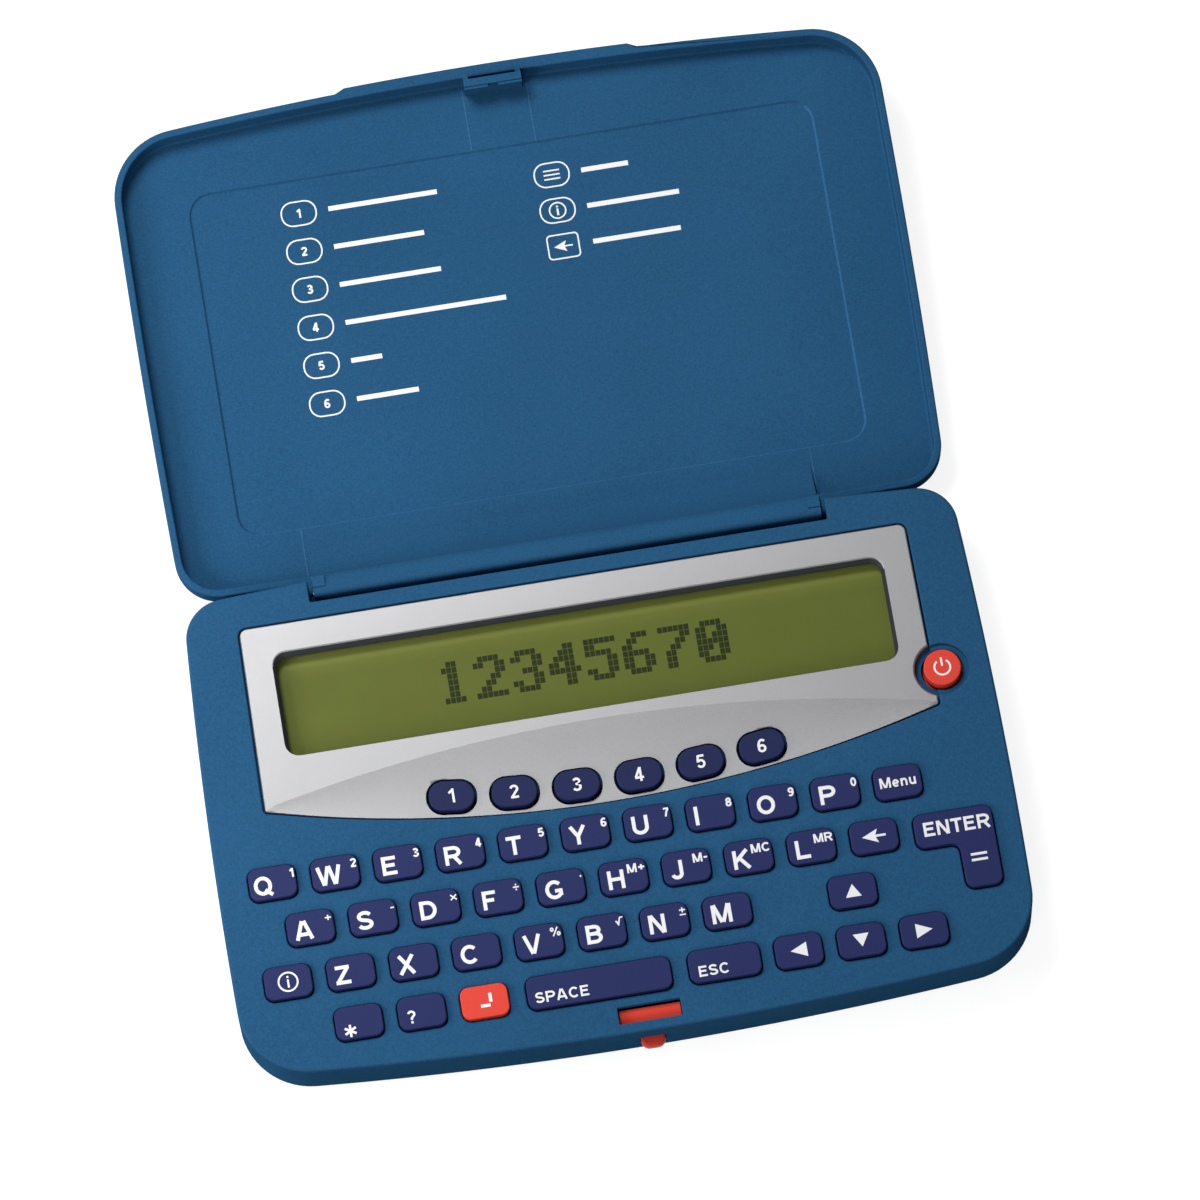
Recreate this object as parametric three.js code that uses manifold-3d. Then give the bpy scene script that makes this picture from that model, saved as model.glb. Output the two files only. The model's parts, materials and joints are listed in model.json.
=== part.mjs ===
// Pocket electronic word checker with a hinged lid, shown open.
// Millimetres, +X right, +Y towards the hinge, +Z up.
// The origin is the middle of the flat underside.
import * as THREE from 'three';
import { mergeVertices } from 'three/addons/utils/BufferGeometryUtils.js';
import Module from 'manifold-3d';

const wasm = await Module();
wasm.setup();

// Shared clearances and drawing fineness
const gap = 0.3;
const overrun = 1;
const cornerSteps = 2;
const smoothCornerSteps = 6;
const edgeSteps = 8;
const filletSteps = 3;
const roundSides = 24;
const mergeTolerance = 1e-4;

// Case outline seen from above
const caseHalfWidth = 62.85;
const caseSideMiddle = -11.3;
const caseSideArc = 830;
const caseFrontArc = 644;
const caseRear = 41.4;
const caseRearArc = 955;
const caseFrontCorner = 11.3;
const caseRearCorner = 6.5;

// Case walls
const partingHeight = 4;
const topThickness = 1.8;
const sideThickness = 1.6;
const floorThickness = 1.5;
const topFillet = 1.2;
const bottomFillet = 1.5;

// What the case holds, from the underside up: door, cell, contact, board, key sheet and key flange
const doorThickness = 1.2;
const cellThickness = 2.5;
const contactRoom = 0.8;
const boardThickness = 0.8;
const sheetThickness = 0.5;
const keyTravel = 0.8;
const travelMargin = 0.2;
const keyFlangeThickness = 0.5;
const cellBottom = doorThickness + gap;
const cellTop = cellBottom + cellThickness;
const boardBottom = cellTop + contactRoom;
const boardTop = boardBottom + boardThickness;
const sheetBottom = boardTop + gap;
const sheetTop = sheetBottom + sheetThickness;
const flangeBottom = sheetTop + travelMargin + keyTravel;
const flangeTop = flangeBottom + keyFlangeThickness;
const topInside = flangeTop + gap;
const caseHeight = topInside + topThickness;

// Hinge
const hingeRearMargin = 1.6;
const hingeDrop = 2.2;
const openAngle = 175;
const barrelRadius = 2.1;
const barrelGap = 0.8;
const pinRadius = 0.8;
const pinBite = 1.8;
const recessHalfWidth = 41.4;
const recessWall = 2;
const hingeY = caseRear - hingeRearMargin;
const hingeZ = caseHeight - hingeDrop;
const recessFront = hingeY - barrelRadius - barrelGap;
const recessLidGap = 0.6;
const tongueSideGap = 0.8;

// Display bezel
const bezelThickness = 0.9;
const bezelRecessGap = 2.75;
const bezelTopSideMargin = 9.65;
const bezelLowSideMargin = 9.35;
const bezelSideLength = 30.25;
const bezelDrop = 7.1;
const bezelCorner = 1.2;
const bezelClearance = 0.25;
const bezelBevel = 0.25;
const bezelTopY = recessFront - bezelRecessGap;
const bezelTopHalfWidth = caseHalfWidth - bezelTopSideMargin;
const bezelLowHalfWidth = caseHalfWidth - bezelLowSideMargin;
const bezelLowY = bezelTopY - bezelSideLength;
const bezelMiddleY = bezelLowY - bezelDrop;

// Display opening, window and glass
const viewSideMargin = 4.95;
const viewTopMargin = 5.475;
const viewHeight = 16.55;
const viewCorner = 1.8;
const viewBevel = 0.9;
const windowThickness = 0.8;
const windowMargin = 1.5;
const glassMarginX = 2.4;
const glassMarginY = 2.3;
const viewWidth = 2 * (bezelTopHalfWidth - viewSideMargin);
const viewY = bezelTopY - viewTopMargin - viewHeight / 2;

// Keys: four rows between the bezel and the front, eleven columns in the first row
const keyColumns = 11;
const keyRows = 4;
const keyLeftMargin = 8.75;
const keyRightMargin = 17.95;
const keyBezelGap = 4.7;
const keyRowPitch = 8.15;
const keyFrontMargin = 8.75;
const keySpacing = 2.45;
const keyRowSpacing = 2.9;
const keyCorner = 1.4;
const rowTwoShiftShare = 0.48;
const keyProud = 1.1;
const keyClearance = 0.25;
const keyBevel = 0.35;
const keyFlange = 0.35;
const keyFirstX = keyLeftMargin - caseHalfWidth;
const keyFirstY = bezelMiddleY - keyBezelGap;
const keyPitch = (2 * caseHalfWidth - keyLeftMargin - keyRightMargin) / (keyColumns - 1);
const lastRowY = keyFirstY - (keyRows - 1) * keyRowPitch;
const caseFront = lastRowY - keyFrontMargin;
const keyWidth = keyPitch - keySpacing;
const keyHeight = keyRowPitch - keyRowSpacing;
const columnX = (column) => keyFirstX + column * keyPitch;
const rowY = (row) => keyFirstY - row * keyRowPitch;

// Space and escape share the room between the shift key and the arrows
const shiftColumn = 3;
const arrowColumn = 8;
const spaceGap = 2.925;
const escapeGap = 2.8;
const spaceRoomShare = 0.54;
const escapeRoomShare = 0.2687;
const lastRowLeft = columnX(shiftColumn) + keyWidth / 2;
const lastRowRoom = columnX(arrowColumn) - keyWidth / 2 - lastRowLeft;
const spaceWidth = lastRowRoom * spaceRoomShare;
const escapeWidth = lastRowRoom * escapeRoomShare;
const spaceX = lastRowLeft + spaceGap + spaceWidth / 2;
const escapeX = spaceX + spaceWidth / 2 + escapeGap + escapeWidth / 2;

// Enter key: an arm beside the second row and a stem down to the third
const backspaceColumn = 9;
const enterGap = 2.625;
const enterSideMargin = 4.35;
const enterTopDrop = 0.375;
const enterArmHeight = 5.5;
const enterStemWidth = 5.8;
const rowTwo = 1;
const rowThree = 2;
const rowTwoShift = keyPitch * rowTwoShiftShare;
const enterLeft = columnX(backspaceColumn) + rowTwoShift + keyWidth / 2 + enterGap;
const enterRight = caseHalfWidth - enterSideMargin;
const enterTop = rowY(rowTwo) + keyHeight / 2 - enterTopDrop;
const enterBottom = rowY(rowThree) - keyHeight / 2;

// Oval function buttons on an arc of the bezel
const ovalWidth = 7.2;
const ovalHeight = 4.9;
const ovalCorner = 2.3;
const ovalPitch = 9.87;
const ovalMiddleX = 0.3;
const ovalBezelMargin = 3.25;
const ovalArc = 205;
const ovalCount = 6;
const ovalMiddleY = bezelMiddleY + ovalBezelMargin;

// Power button and the dished well round it
const powerSideMargin = 7.85;
const powerBezelRise = 5.55;
const powerRadius = 2.94;
const powerClearance = 0.4;
const powerDishRadius = 4.1;
const powerDishDepth = 0.5;
const powerX = caseHalfWidth - powerSideMargin;
const powerY = bezelLowY + powerBezelRise;

// Lid, drawn closed and then turned open about the hinge
const lidSideInset = 0.65;
const lidSideMiddle = -12;
const lidSideArc = 1540;
const lidFrontInset = 0.1;
const lidHingeGap = 1.3;
const lidRearArc = 6000;
const lidFrontCorner = 11.2;
const lidRearCorner = 7;
const lidRimGap = 0.2;
const lidDepth = 5.2;
const lidWall = 1.2;
const lidTop = 1.5;
const lidFillet = 2;
const lidInnerFillet = 0.8;
const lipHalfWidth = 26;
const lipProud = 0.7;
const lipTaper = 3;
const lipHeight = 2;
const panelSideMargin = 11.8;
const panelRearMargin = 10.2;
const panelFrontMargin = 12.7;
const panelCorner = 3.5;
const panelDepth = 0.3;
const tongueRampLength = 4.5;
const tongueWeb = 1.2;
const lidHalfWidth = caseHalfWidth - lidSideInset;
const lidFront = caseFront + lidFrontInset;
const lidRear = hingeY - lidHingeGap;
const panelHalfWidth = lidHalfWidth - panelSideMargin;
const panelRear = lidRear - panelRearMargin;
const panelFront = lidFront + panelFrontMargin;

// Latch hook on the lid and the slot that it enters
const latchX = 0.7;
const slotWidth = 9.9;
const slotFrontMargin = 4.45;
const slotRear = caseFront + slotFrontMargin;
const slotDepth = 2.7;
const hookSideGap = 0.3;
const hookRearGap = 0.35;
const hookThickness = 1.2;
const hookReach = 1.4;
const hookRibWidth = 0.9;
const hookLipReach = 0.5;
const hookLipHeight = 0.7;

// Latch slider with its push button
const sliderSideShare = 1.46;
const sliderDrop = 0.3;
const sliderThickness = 1.5;
const sliderDepth = 2.5;
const sliderTravel = 1.1;
const pushWidth = 3.85;
const pushX = 0.6;
const pushSill = 0.6;
const pushHeight = 2.2;
const pushProud = 1.8;
const pushCorner = 0.9;
const sliderLegHeight = 4.1;
const sliderLegDepth = 1.5;
const pushBottom = partingHeight + pushSill;

// Slider spring and the rib behind it
const springWire = 0.35;
const springRadius = 0.9;
const springTurns = 5;
const springSteps = 8;
const springSides = 5;
const springLength = 4.8;
const springHeight = 3.5;
const springRibWidth = 5;
const springRibThickness = 1;

// Circuit board, keypad sheet and their seats
const boardInset = 3.4;
const boardRecessGap = 3.5;
const boardCutClearance = 0.6;
const sheetOvalMargin = 4.55;
const sheetMargin = 1.2;
const powerTabMargin = 3.8;
const postRadius = 1.6;
const postX = 38;
const postFrontY = -20;
const postRearY = 26;
const boardRear = recessFront - boardRecessGap;
const sheetRear = ovalMiddleY + sheetOvalMargin;

// Screw bosses, in pairs left and right
const bossRadius = 2.5;
const bossFrontSideMargin = 8.85;
const bossRearSideMargin = 6.45;
const bossFrontMargin = 8.9;
const bossRearMargin = 8;
const screwHeadRadius = 1.9;
const screwHeadDepth = 1.6;
const screwShankRadius = 0.9;
const bosses = [
  { x: caseHalfWidth - bossFrontSideMargin, y: caseFront + bossFrontMargin },
  { x: caseHalfWidth - bossRearSideMargin, y: caseRear - bossRearMargin },
];

// Coin cell, its door and its contact
const cellX = -26;
const cellY = 8;
const cellRadius = 10;
const cellSides = 28;
const doorHalfWidth = 12.5;
const doorHalfLength = 12;
const doorCorner = 2;
const doorGripWidth = 8;
const doorGripDepth = 0.6;
const doorGripEdge = 1;
const cellWellWall = 1;
const contactWidth = 4;
const contactLength = 13;
const contactThickness = 0.3;
const contactTab = 2.4;

// Colours and finishes
const blue = { color: 0x2f5f8c, roughness: 0.55, metalness: 0.1 };
const navy = { color: 0x2b3163, roughness: 0.45, metalness: 0 };
const red = { color: 0xe05040, roughness: 0.4, metalness: 0 };
const silver = { color: 0xb4b5b9, roughness: 0.4, metalness: 0.5 };
const steel = { color: 0xb8babd, roughness: 0.3, metalness: 1 };
const clear = { color: 0xdfe6d8, roughness: 0.1, metalness: 0, transparent: true, opacity: 0.35 };
const liquidCrystal = { color: 0x666f36, roughness: 0.35, metalness: 0 };
const boardGreen = { color: 0x1f5a36, roughness: 0.6, metalness: 0 };
const silicone = { color: 0x8a8f96, roughness: 0.8, metalness: 0 };

const group = new THREE.Group();

// A closed mesh as a solid that can be joined and cut
function toSolid(geometry) {
  const plain = geometry.index ? geometry.toNonIndexed() : geometry.clone();
  plain.deleteAttribute('normal');
  plain.deleteAttribute('uv');
  const merged = mergeVertices(plain, mergeTolerance);
  return new wasm.Manifold(new wasm.Mesh({
    numProp: 3,
    vertProperties: new Float32Array(merged.attributes.position.array),
    triVerts: new Uint32Array(merged.index.array),
  }));
}

// A solid as a geometry again
function toGeometry(solid) {
  const mesh = solid.getMesh();
  const geometry = new THREE.BufferGeometry();
  geometry.setAttribute('position', new THREE.BufferAttribute(mesh.vertProperties, 3));
  geometry.setIndex(new THREE.BufferAttribute(mesh.triVerts, 1));
  return geometry;
}

// A named mesh from a solid, with its own material
function addPart(name, solid, finish, parent = group) {
  const geometry = toGeometry(solid);
  geometry.computeVertexNormals();
  const mesh = new THREE.Mesh(geometry, new THREE.MeshStandardMaterial(finish));
  mesh.name = name;
  parent.add(mesh);
}

// An outline pushed straight up from one height to another
function prism(points, low, high) {
  const shape = new THREE.Shape(points);
  const geometry = new THREE.ExtrudeGeometry(shape, { depth: high - low, bevelEnabled: false });
  return toSolid(geometry.translate(0, 0, low));
}

// A box between two corners
function block(x0, x1, y0, y1, z0, z1) {
  const geometry = new THREE.BoxGeometry(x1 - x0, y1 - y0, z1 - z0);
  return toSolid(geometry.translate((x0 + x1) / 2, (y0 + y1) / 2, (z0 + z1) / 2));
}

// An upright round bar
function roundBar(x, y, radius, low, high, sides = roundSides) {
  const geometry = new THREE.CylinderGeometry(radius, radius, high - low, sides);
  return toSolid(geometry.rotateX(Math.PI / 2).translate(x, y, (low + high) / 2));
}

// A closed solid through outlines with equal counts of points, each at its own height
function loft(rings) {
  const count = rings[0].points.length;
  const positions = [];
  rings.forEach((ring) => ring.points.forEach((p) => positions.push(p.x, p.y, ring.z)));
  const index = [];
  for (let level = 0; level < rings.length - 1; level += 1) {
    for (let i = 0; i < count; i += 1) {
      const next = (i + 1) % count;
      const a = level * count + i;
      const b = level * count + next;
      index.push(a, b, b + count, a, b + count, a + count);
    }
  }
  const last = (rings.length - 1) * count;
  THREE.ShapeUtils.triangulateShape(rings[0].points, []).forEach(([a, b, c]) => {
    index.push(a, c, b);
  });
  THREE.ShapeUtils.triangulateShape(rings[rings.length - 1].points, []).forEach(([a, b, c]) => {
    index.push(last + a, last + b, last + c);
  });
  const geometry = new THREE.BufferGeometry();
  geometry.setAttribute('position', new THREE.Float32BufferAttribute(positions, 3));
  geometry.setIndex(index);
  return toSolid(geometry);
}

// Points on an arc, both ends included
function arcPoints(centre, radius, start, end, steps) {
  const points = [];
  for (let i = 0; i <= steps; i += 1) {
    const angle = start + ((end - start) * i) / steps;
    points.push(new THREE.Vector2(
      centre.x + radius * Math.cos(angle),
      centre.y + radius * Math.sin(angle),
    ));
  }
  return points;
}

// Where two circles cross, on the side with the larger x
function crossing(first, firstRadius, second, secondRadius) {
  const line = second.clone().sub(first);
  const distance = line.length();
  const along = (distance ** 2 + firstRadius ** 2 - secondRadius ** 2) / (2 * distance);
  const across = Math.sqrt(firstRadius ** 2 - along ** 2);
  const foot = first.clone().addScaledVector(line, along / distance);
  const side = new THREE.Vector2(-line.y, line.x).multiplyScalar(across / distance);
  const one = foot.clone().add(side);
  const other = foot.clone().sub(side);
  return one.x > other.x ? one : other;
}

// A four-sided outline with bowed edges and round corners, drawn in by an inset
function bowedOutline(size, inset) {
  const sideCentre = new THREE.Vector2(size.halfWidth - size.sideArc, size.sideMiddle);
  const frontCentre = new THREE.Vector2(0, size.front + size.frontArc);
  const rearCentre = new THREE.Vector2(0, size.rear - size.rearArc);
  const frontCorner = crossing(
    sideCentre,
    size.sideArc - size.frontCorner,
    frontCentre,
    size.frontArc - size.frontCorner,
  );
  const rearCorner = crossing(
    sideCentre,
    size.sideArc - size.rearCorner,
    rearCentre,
    size.rearArc - size.rearCorner,
  );
  const angleFrom = (from, to) => Math.atan2(to.y - from.y, to.x - from.x);
  const frontAngle = angleFrom(frontCentre, frontCorner);
  const lowSideAngle = angleFrom(sideCentre, frontCorner);
  const highSideAngle = angleFrom(sideCentre, rearCorner);
  const rearAngle = angleFrom(rearCentre, rearCorner);
  const right = [
    ...arcPoints(frontCentre, size.frontArc - inset, -Math.PI / 2, frontAngle, edgeSteps / 2),
    ...arcPoints(frontCorner, size.frontCorner - inset, frontAngle, lowSideAngle, smoothCornerSteps).slice(1),
    ...arcPoints(sideCentre, size.sideArc - inset, lowSideAngle, highSideAngle, edgeSteps / 2).slice(1),
    ...arcPoints(rearCorner, size.rearCorner - inset, highSideAngle, rearAngle, smoothCornerSteps).slice(1),
    ...arcPoints(rearCentre, size.rearArc - inset, rearAngle, Math.PI / 2, edgeSteps / 2).slice(1),
  ];
  const left = right.slice(1, -1).reverse().map((p) => new THREE.Vector2(-p.x, p.y));
  return [...right, ...left];
}

// A polygon with every corner rounded to one radius, grown outwards by a margin
function roundedPolygon(corners, radius, margin = 0, steps = cornerSteps) {
  const points = [];
  const count = corners.length;
  corners.forEach((corner, i) => {
    const before = corners[(i + count - 1) % count].clone().sub(corner).normalize();
    const after = corners[(i + 1) % count].clone().sub(corner).normalize();
    const turn = before.x * after.y - before.y * after.x;
    const half = Math.acos(before.dot(after)) / 2;
    const middle = before.clone().add(after).normalize();
    const outer = turn < 0;
    const centre = corner.clone().addScaledVector(middle, radius / Math.sin(half));
    const grown = outer ? radius + margin : radius - margin;
    const towards = Math.atan2(-middle.y, -middle.x);
    const spread = Math.PI / 2 - half;
    const start = outer ? towards - spread : towards + spread;
    const end = outer ? towards + spread : towards - spread;
    points.push(...arcPoints(centre, grown, start, end, steps));
  });
  return points;
}

// Corners of a rectangle about a middle, turned by an angle
function rectangle(x, y, width, height, angle = 0) {
  const middle = new THREE.Vector2(x, y);
  return [[-1, -1], [1, -1], [1, 1], [-1, 1]].map(([sx, sy]) => (
    new THREE.Vector2(x + (sx * width) / 2, y + (sy * height) / 2).rotateAround(middle, angle)
  ));
}

// A stack of rings that rounds the edge of a slab between two heights
function filletRings(outline, flat, edge, fillet) {
  const rings = [];
  const direction = Math.sign(edge - flat);
  for (let i = 0; i <= filletSteps; i += 1) {
    const angle = ((Math.PI / 2) * i) / filletSteps;
    rings.push({
      points: outline(fillet * (1 - Math.cos(angle))),
      z: edge - direction * fillet * (1 - Math.sin(angle)),
    });
  }
  const all = [{ points: outline(0), z: flat }, ...rings];
  return direction > 0 ? all : all.reverse();
}

// A profile in Y and Z pushed along X
function alongX(points, x0, x1) {
  const geometry = new THREE.ExtrudeGeometry(new THREE.Shape(points), {
    depth: x1 - x0,
    bevelEnabled: false,
  });
  const turn = new THREE.Matrix4().makeBasis(
    new THREE.Vector3(0, 1, 0),
    new THREE.Vector3(0, 0, 1),
    new THREE.Vector3(1, 0, 0),
  );
  return toSolid(geometry.applyMatrix4(turn).translate(x0, 0, 0));
}

const caseSize = {
  halfWidth: caseHalfWidth,
  sideMiddle: caseSideMiddle,
  sideArc: caseSideArc,
  front: caseFront,
  frontArc: caseFrontArc,
  rear: caseRear,
  rearArc: caseRearArc,
  frontCorner: caseFrontCorner,
  rearCorner: caseRearCorner,
};
const caseOutline = (inset) => bowedOutline(caseSize, inset);

// Every key: its name, corner points, corner radius and finish
const keys = [];

function addKey(name, corners, radius, finish) {
  keys.push({ name, corners, radius, finish });
}

function addPlainKey(name, column, row, finish = navy) {
  const shift = row === rowTwo ? rowTwoShift : 0;
  const corners = rectangle(columnX(column) + shift, rowY(row), keyWidth, keyHeight);
  addKey(name, corners, keyCorner, finish);
}

['q', 'w', 'e', 'r', 't', 'y', 'u', 'i', 'o', 'p', 'menu'].forEach((label, column) => {
  addPlainKey(`key_${label}`, column, 0);
});
['a', 's', 'd', 'f', 'g', 'h', 'j', 'k', 'l', 'backspace'].forEach((label, column) => {
  addPlainKey(`key_${label}`, column, 1);
});
['information', 'z', 'x', 'c', 'v', 'b', 'n', 'm'].forEach((label, column) => {
  addPlainKey(`key_${label}`, column, 2);
});
addPlainKey('key_up', arrowColumn + 1, 2);
['star', 'question'].forEach((label, i) => addPlainKey(`key_${label}`, i + 1, 3));
addPlainKey('key_shift', shiftColumn, 3, red);
['left', 'down', 'right'].forEach((label, i) => addPlainKey(`key_${label}`, i + arrowColumn, 3));

addKey('key_space', rectangle(spaceX, lastRowY, spaceWidth, keyHeight), keyCorner, navy);
addKey('key_escape', rectangle(escapeX, lastRowY, escapeWidth, keyHeight), keyCorner, navy);
addKey('key_enter', [
  new THREE.Vector2(enterLeft, enterTop),
  new THREE.Vector2(enterLeft, enterTop - enterArmHeight),
  new THREE.Vector2(enterRight - enterStemWidth, enterTop - enterArmHeight),
  new THREE.Vector2(enterRight - enterStemWidth, enterBottom),
  new THREE.Vector2(enterRight, enterBottom),
  new THREE.Vector2(enterRight, enterTop),
], keyCorner, navy);

const ovals = [];
for (let i = 0; i < ovalCount; i += 1) {
  const along = (i - (ovalCount - 1) / 2) * ovalPitch;
  const angle = along / ovalArc;
  const x = ovalMiddleX + ovalArc * Math.sin(angle);
  const y = ovalMiddleY + ovalArc * (1 - Math.cos(angle));
  ovals.push({
    name: `function_button_${i + 1}`,
    corners: rectangle(x, y, ovalWidth, ovalHeight, angle),
    radius: ovalCorner,
    finish: navy,
  });
}

const keyTop = caseHeight + keyProud;

// A keycap: flange under the case, straight body and bevelled top
function keySolid(key) {
  const ring = (margin) => roundedPolygon(key.corners, key.radius, margin);
  const flange = prism(ring(keyFlange), flangeBottom, flangeTop);
  const body = loft([
    { points: ring(0), z: flangeTop - keyFlangeThickness / 2 },
    { points: ring(0), z: keyTop - keyBevel },
    { points: ring(-keyBevel), z: keyTop },
  ]);
  return flange.add(body);
}

const keyHole = (key) => prism(
  roundedPolygon(key.corners, key.radius, keyClearance),
  partingHeight,
  keyTop + overrun,
);

// Bezel outline, clockwise corners joined by the bottom arc
function bezelOutline(margin) {
  const rise = bezelLowY - bezelMiddleY;
  const arc = (bezelLowHalfWidth ** 2 + rise ** 2) / (2 * rise);
  const spread = Math.asin(bezelLowHalfWidth / arc);
  const centre = new THREE.Vector2(0, bezelMiddleY + arc);
  const low = arcPoints(centre, arc + margin, -Math.PI / 2 - spread, -Math.PI / 2 + spread, edgeSteps * 2);
  const high = [1, -1].flatMap((side) => {
    const corner = new THREE.Vector2(side * (bezelTopHalfWidth - bezelCorner), bezelTopY - bezelCorner);
    const start = side > 0 ? 0 : Math.PI / 2;
    return arcPoints(corner, bezelCorner + margin, start, start + Math.PI / 2, cornerSteps);
  });
  low[0].x -= margin;
  low[low.length - 1].x += margin;
  return [...low, ...high];
}

const viewRing = (margin) => roundedPolygon(
  rectangle(0, viewY, viewWidth, viewHeight),
  viewCorner,
  margin,
  smoothCornerSteps / 2,
);
const powerHoleRadius = powerRadius + powerClearance;
const bezelBottom = caseHeight - bezelThickness;
const bezelSeat = bezelBottom - gap;
const windowOpeningMargin = windowMargin + gap;
const slotFront = slotRear - slotDepth;
const slotLeft = latchX - slotWidth / 2;
const slotRight = latchX + slotWidth / 2;
const pushTop = pushBottom + pushHeight;

// Upper case: top plate, side walls, hinge recess and every opening
function upperCase() {
  const outside = loft(filletRings(caseOutline, partingHeight, caseHeight, topFillet));
  const inside = prism(caseOutline(sideThickness), partingHeight - overrun, topInside);
  const recessSide = recessHalfWidth + recessWall;
  const rearBlock = block(
    -recessSide,
    recessSide,
    recessFront - recessWall,
    caseRear + overrun,
    partingHeight,
    topInside + gap,
  ).intersect(outside);
  let shell = outside.subtract(inside).add(rearBlock);
  bosses.forEach(({ x, y }) => {
    [-1, 1].forEach((side) => {
      shell = shell.add(roundBar(side * x, y, bossRadius, partingHeight, topInside + gap));
      shell = shell.subtract(roundBar(
        side * x,
        y,
        screwShankRadius,
        partingHeight - overrun,
        topInside - gap,
        roundSides / 2,
      ));
    });
  });
  shell = shell.subtract(block(
    -recessHalfWidth,
    recessHalfWidth,
    recessFront,
    caseRear + overrun,
    partingHeight - overrun,
    caseHeight + overrun,
  ));
  const pinSlotHalf = pinRadius + gap;
  const pinReach = recessHalfWidth + pinBite + gap;
  const pinSlot = alongX([
    ...arcPoints(new THREE.Vector2(hingeY, hingeZ), pinSlotHalf, 0, Math.PI, roundSides / 2),
    new THREE.Vector2(hingeY - pinSlotHalf, partingHeight - overrun),
    new THREE.Vector2(hingeY + pinSlotHalf, partingHeight - overrun),
  ], -pinReach, pinReach);
  shell = shell.subtract(pinSlot);
  shell = shell.subtract(prism(bezelOutline(bezelClearance), bezelSeat, caseHeight + overrun));
  shell = shell.subtract(prism(viewRing(windowOpeningMargin), partingHeight, caseHeight + overrun));
  [...keys, ...ovals].forEach((key) => {
    shell = shell.subtract(keyHole(key));
  });
  shell = shell.subtract(roundBar(
    powerX,
    powerY,
    powerDishRadius,
    caseHeight - powerDishDepth,
    caseHeight + overrun,
  ));
  shell = shell.subtract(roundBar(
    powerX,
    powerY,
    powerHoleRadius,
    partingHeight,
    caseHeight + overrun,
  ));
  shell = shell.subtract(block(
    slotLeft,
    slotRight,
    slotFront,
    slotRear,
    topInside - overrun,
    caseHeight + overrun,
  ));
  return shell.subtract(block(
    pushX - pushWidth / 2 - gap,
    pushX + pushWidth / 2 + gap,
    caseFront - overrun,
    caseFront + sideThickness + overrun,
    pushBottom - gap,
    pushTop + gap,
  ));
}

const sliderTop = topInside - sliderDrop;
const sliderBottom = sliderTop - sliderThickness;
const sliderRear = slotRear - gap / 2;
const sliderFront = sliderRear - sliderDepth;
const sliderHalfWidth = (slotWidth * sliderSideShare) / 2;
const springRibY = sliderRear + springLength + 2 * gap;
const recessRearCut = hingeY + gap * 2;

// Lower case: tray with bosses, posts, cell well, latch posts and the door opening
function lowerCase() {
  const outside = loft(filletRings(caseOutline, partingHeight, 0, bottomFillet));
  const inside = prism(caseOutline(sideThickness), floorThickness, partingHeight + overrun);
  let shell = outside.subtract(inside);
  const rearWall = block(
    -recessHalfWidth - recessWall,
    recessHalfWidth + recessWall,
    recessRearCut - sideThickness,
    caseRear + overrun,
    floorThickness / 2,
    partingHeight,
  ).intersect(outside);
  shell = shell.add(rearWall);
  shell = shell.subtract(block(
    -recessHalfWidth,
    recessHalfWidth,
    recessRearCut,
    caseRear + overrun,
    -overrun,
    partingHeight + overrun,
  ));
  bosses.forEach(({ x, y }) => {
    [-1, 1].forEach((side) => {
      shell = shell.add(roundBar(side * x, y, bossRadius, floorThickness / 2, partingHeight));
      shell = shell.subtract(roundBar(
        side * x,
        y,
        screwShankRadius,
        -overrun,
        partingHeight + overrun,
        roundSides / 2,
      ));
      shell = shell.subtract(roundBar(side * x, y, screwHeadRadius, -overrun, screwHeadDepth));
    });
  });
  [postFrontY, postRearY].forEach((y) => {
    [-postX, postX].forEach((x) => {
      shell = shell.add(roundBar(
        x,
        y,
        postRadius,
        floorThickness / 2,
        boardBottom - gap,
        roundSides / 2,
      ));
    });
  });
  shell = shell.add(prism(doorOutline(gap + cellWellWall), floorThickness / 2, cellTop - gap));
  shell = shell.subtract(roundBar(
    cellX,
    cellY,
    cellRadius + gap,
    -overrun,
    partingHeight + overrun,
    cellSides,
  ));
  shell = shell.subtract(prism(doorOutline(gap), -overrun, cellBottom));
  [-1, 1].forEach((side) => {
    const x = latchX + side * (sliderHalfWidth - overrun);
    shell = shell.add(block(
      x - overrun,
      x + overrun,
      sliderFront,
      sliderRear,
      floorThickness / 2,
      sliderBottom - gap,
    ));
  });
  return shell.add(block(
    pushX - springRibWidth / 2,
    pushX + springRibWidth / 2,
    springRibY,
    springRibY + springRibThickness,
    floorThickness / 2,
    boardBottom - gap,
  ));
}

// Door plan, drawn round its middle
function doorOutline(margin) {
  return roundedPolygon(
    rectangle(cellX, cellY, 2 * doorHalfWidth, 2 * doorHalfLength),
    doorCorner,
    margin,
  );
}

// Snap-in door with a groove for a fingernail near its front edge
function batteryDoor() {
  const plate = prism(doorOutline(0), 0, doorThickness);
  const gripFront = cellY - doorHalfLength + doorGripEdge;
  const grip = block(
    cellX - doorGripWidth / 2,
    cellX + doorGripWidth / 2,
    gripFront,
    gripFront + doorGripEdge,
    -overrun,
    doorGripDepth,
  );
  return plate.subtract(grip);
}

const lidSize = {
  halfWidth: lidHalfWidth,
  sideMiddle: lidSideMiddle,
  sideArc: lidSideArc,
  front: lidFront,
  frontArc: caseFrontArc,
  rear: lidRear,
  rearArc: lidRearArc,
  frontCorner: lidFrontCorner,
  rearCorner: lidRearCorner,
};
const lidOutline = (inset) => bowedOutline(lidSize, inset);
const lidRim = caseHeight + lidRimGap;
const lidOutside = lidRim + lidDepth;
const lidInside = lidOutside - lidTop;

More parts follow.
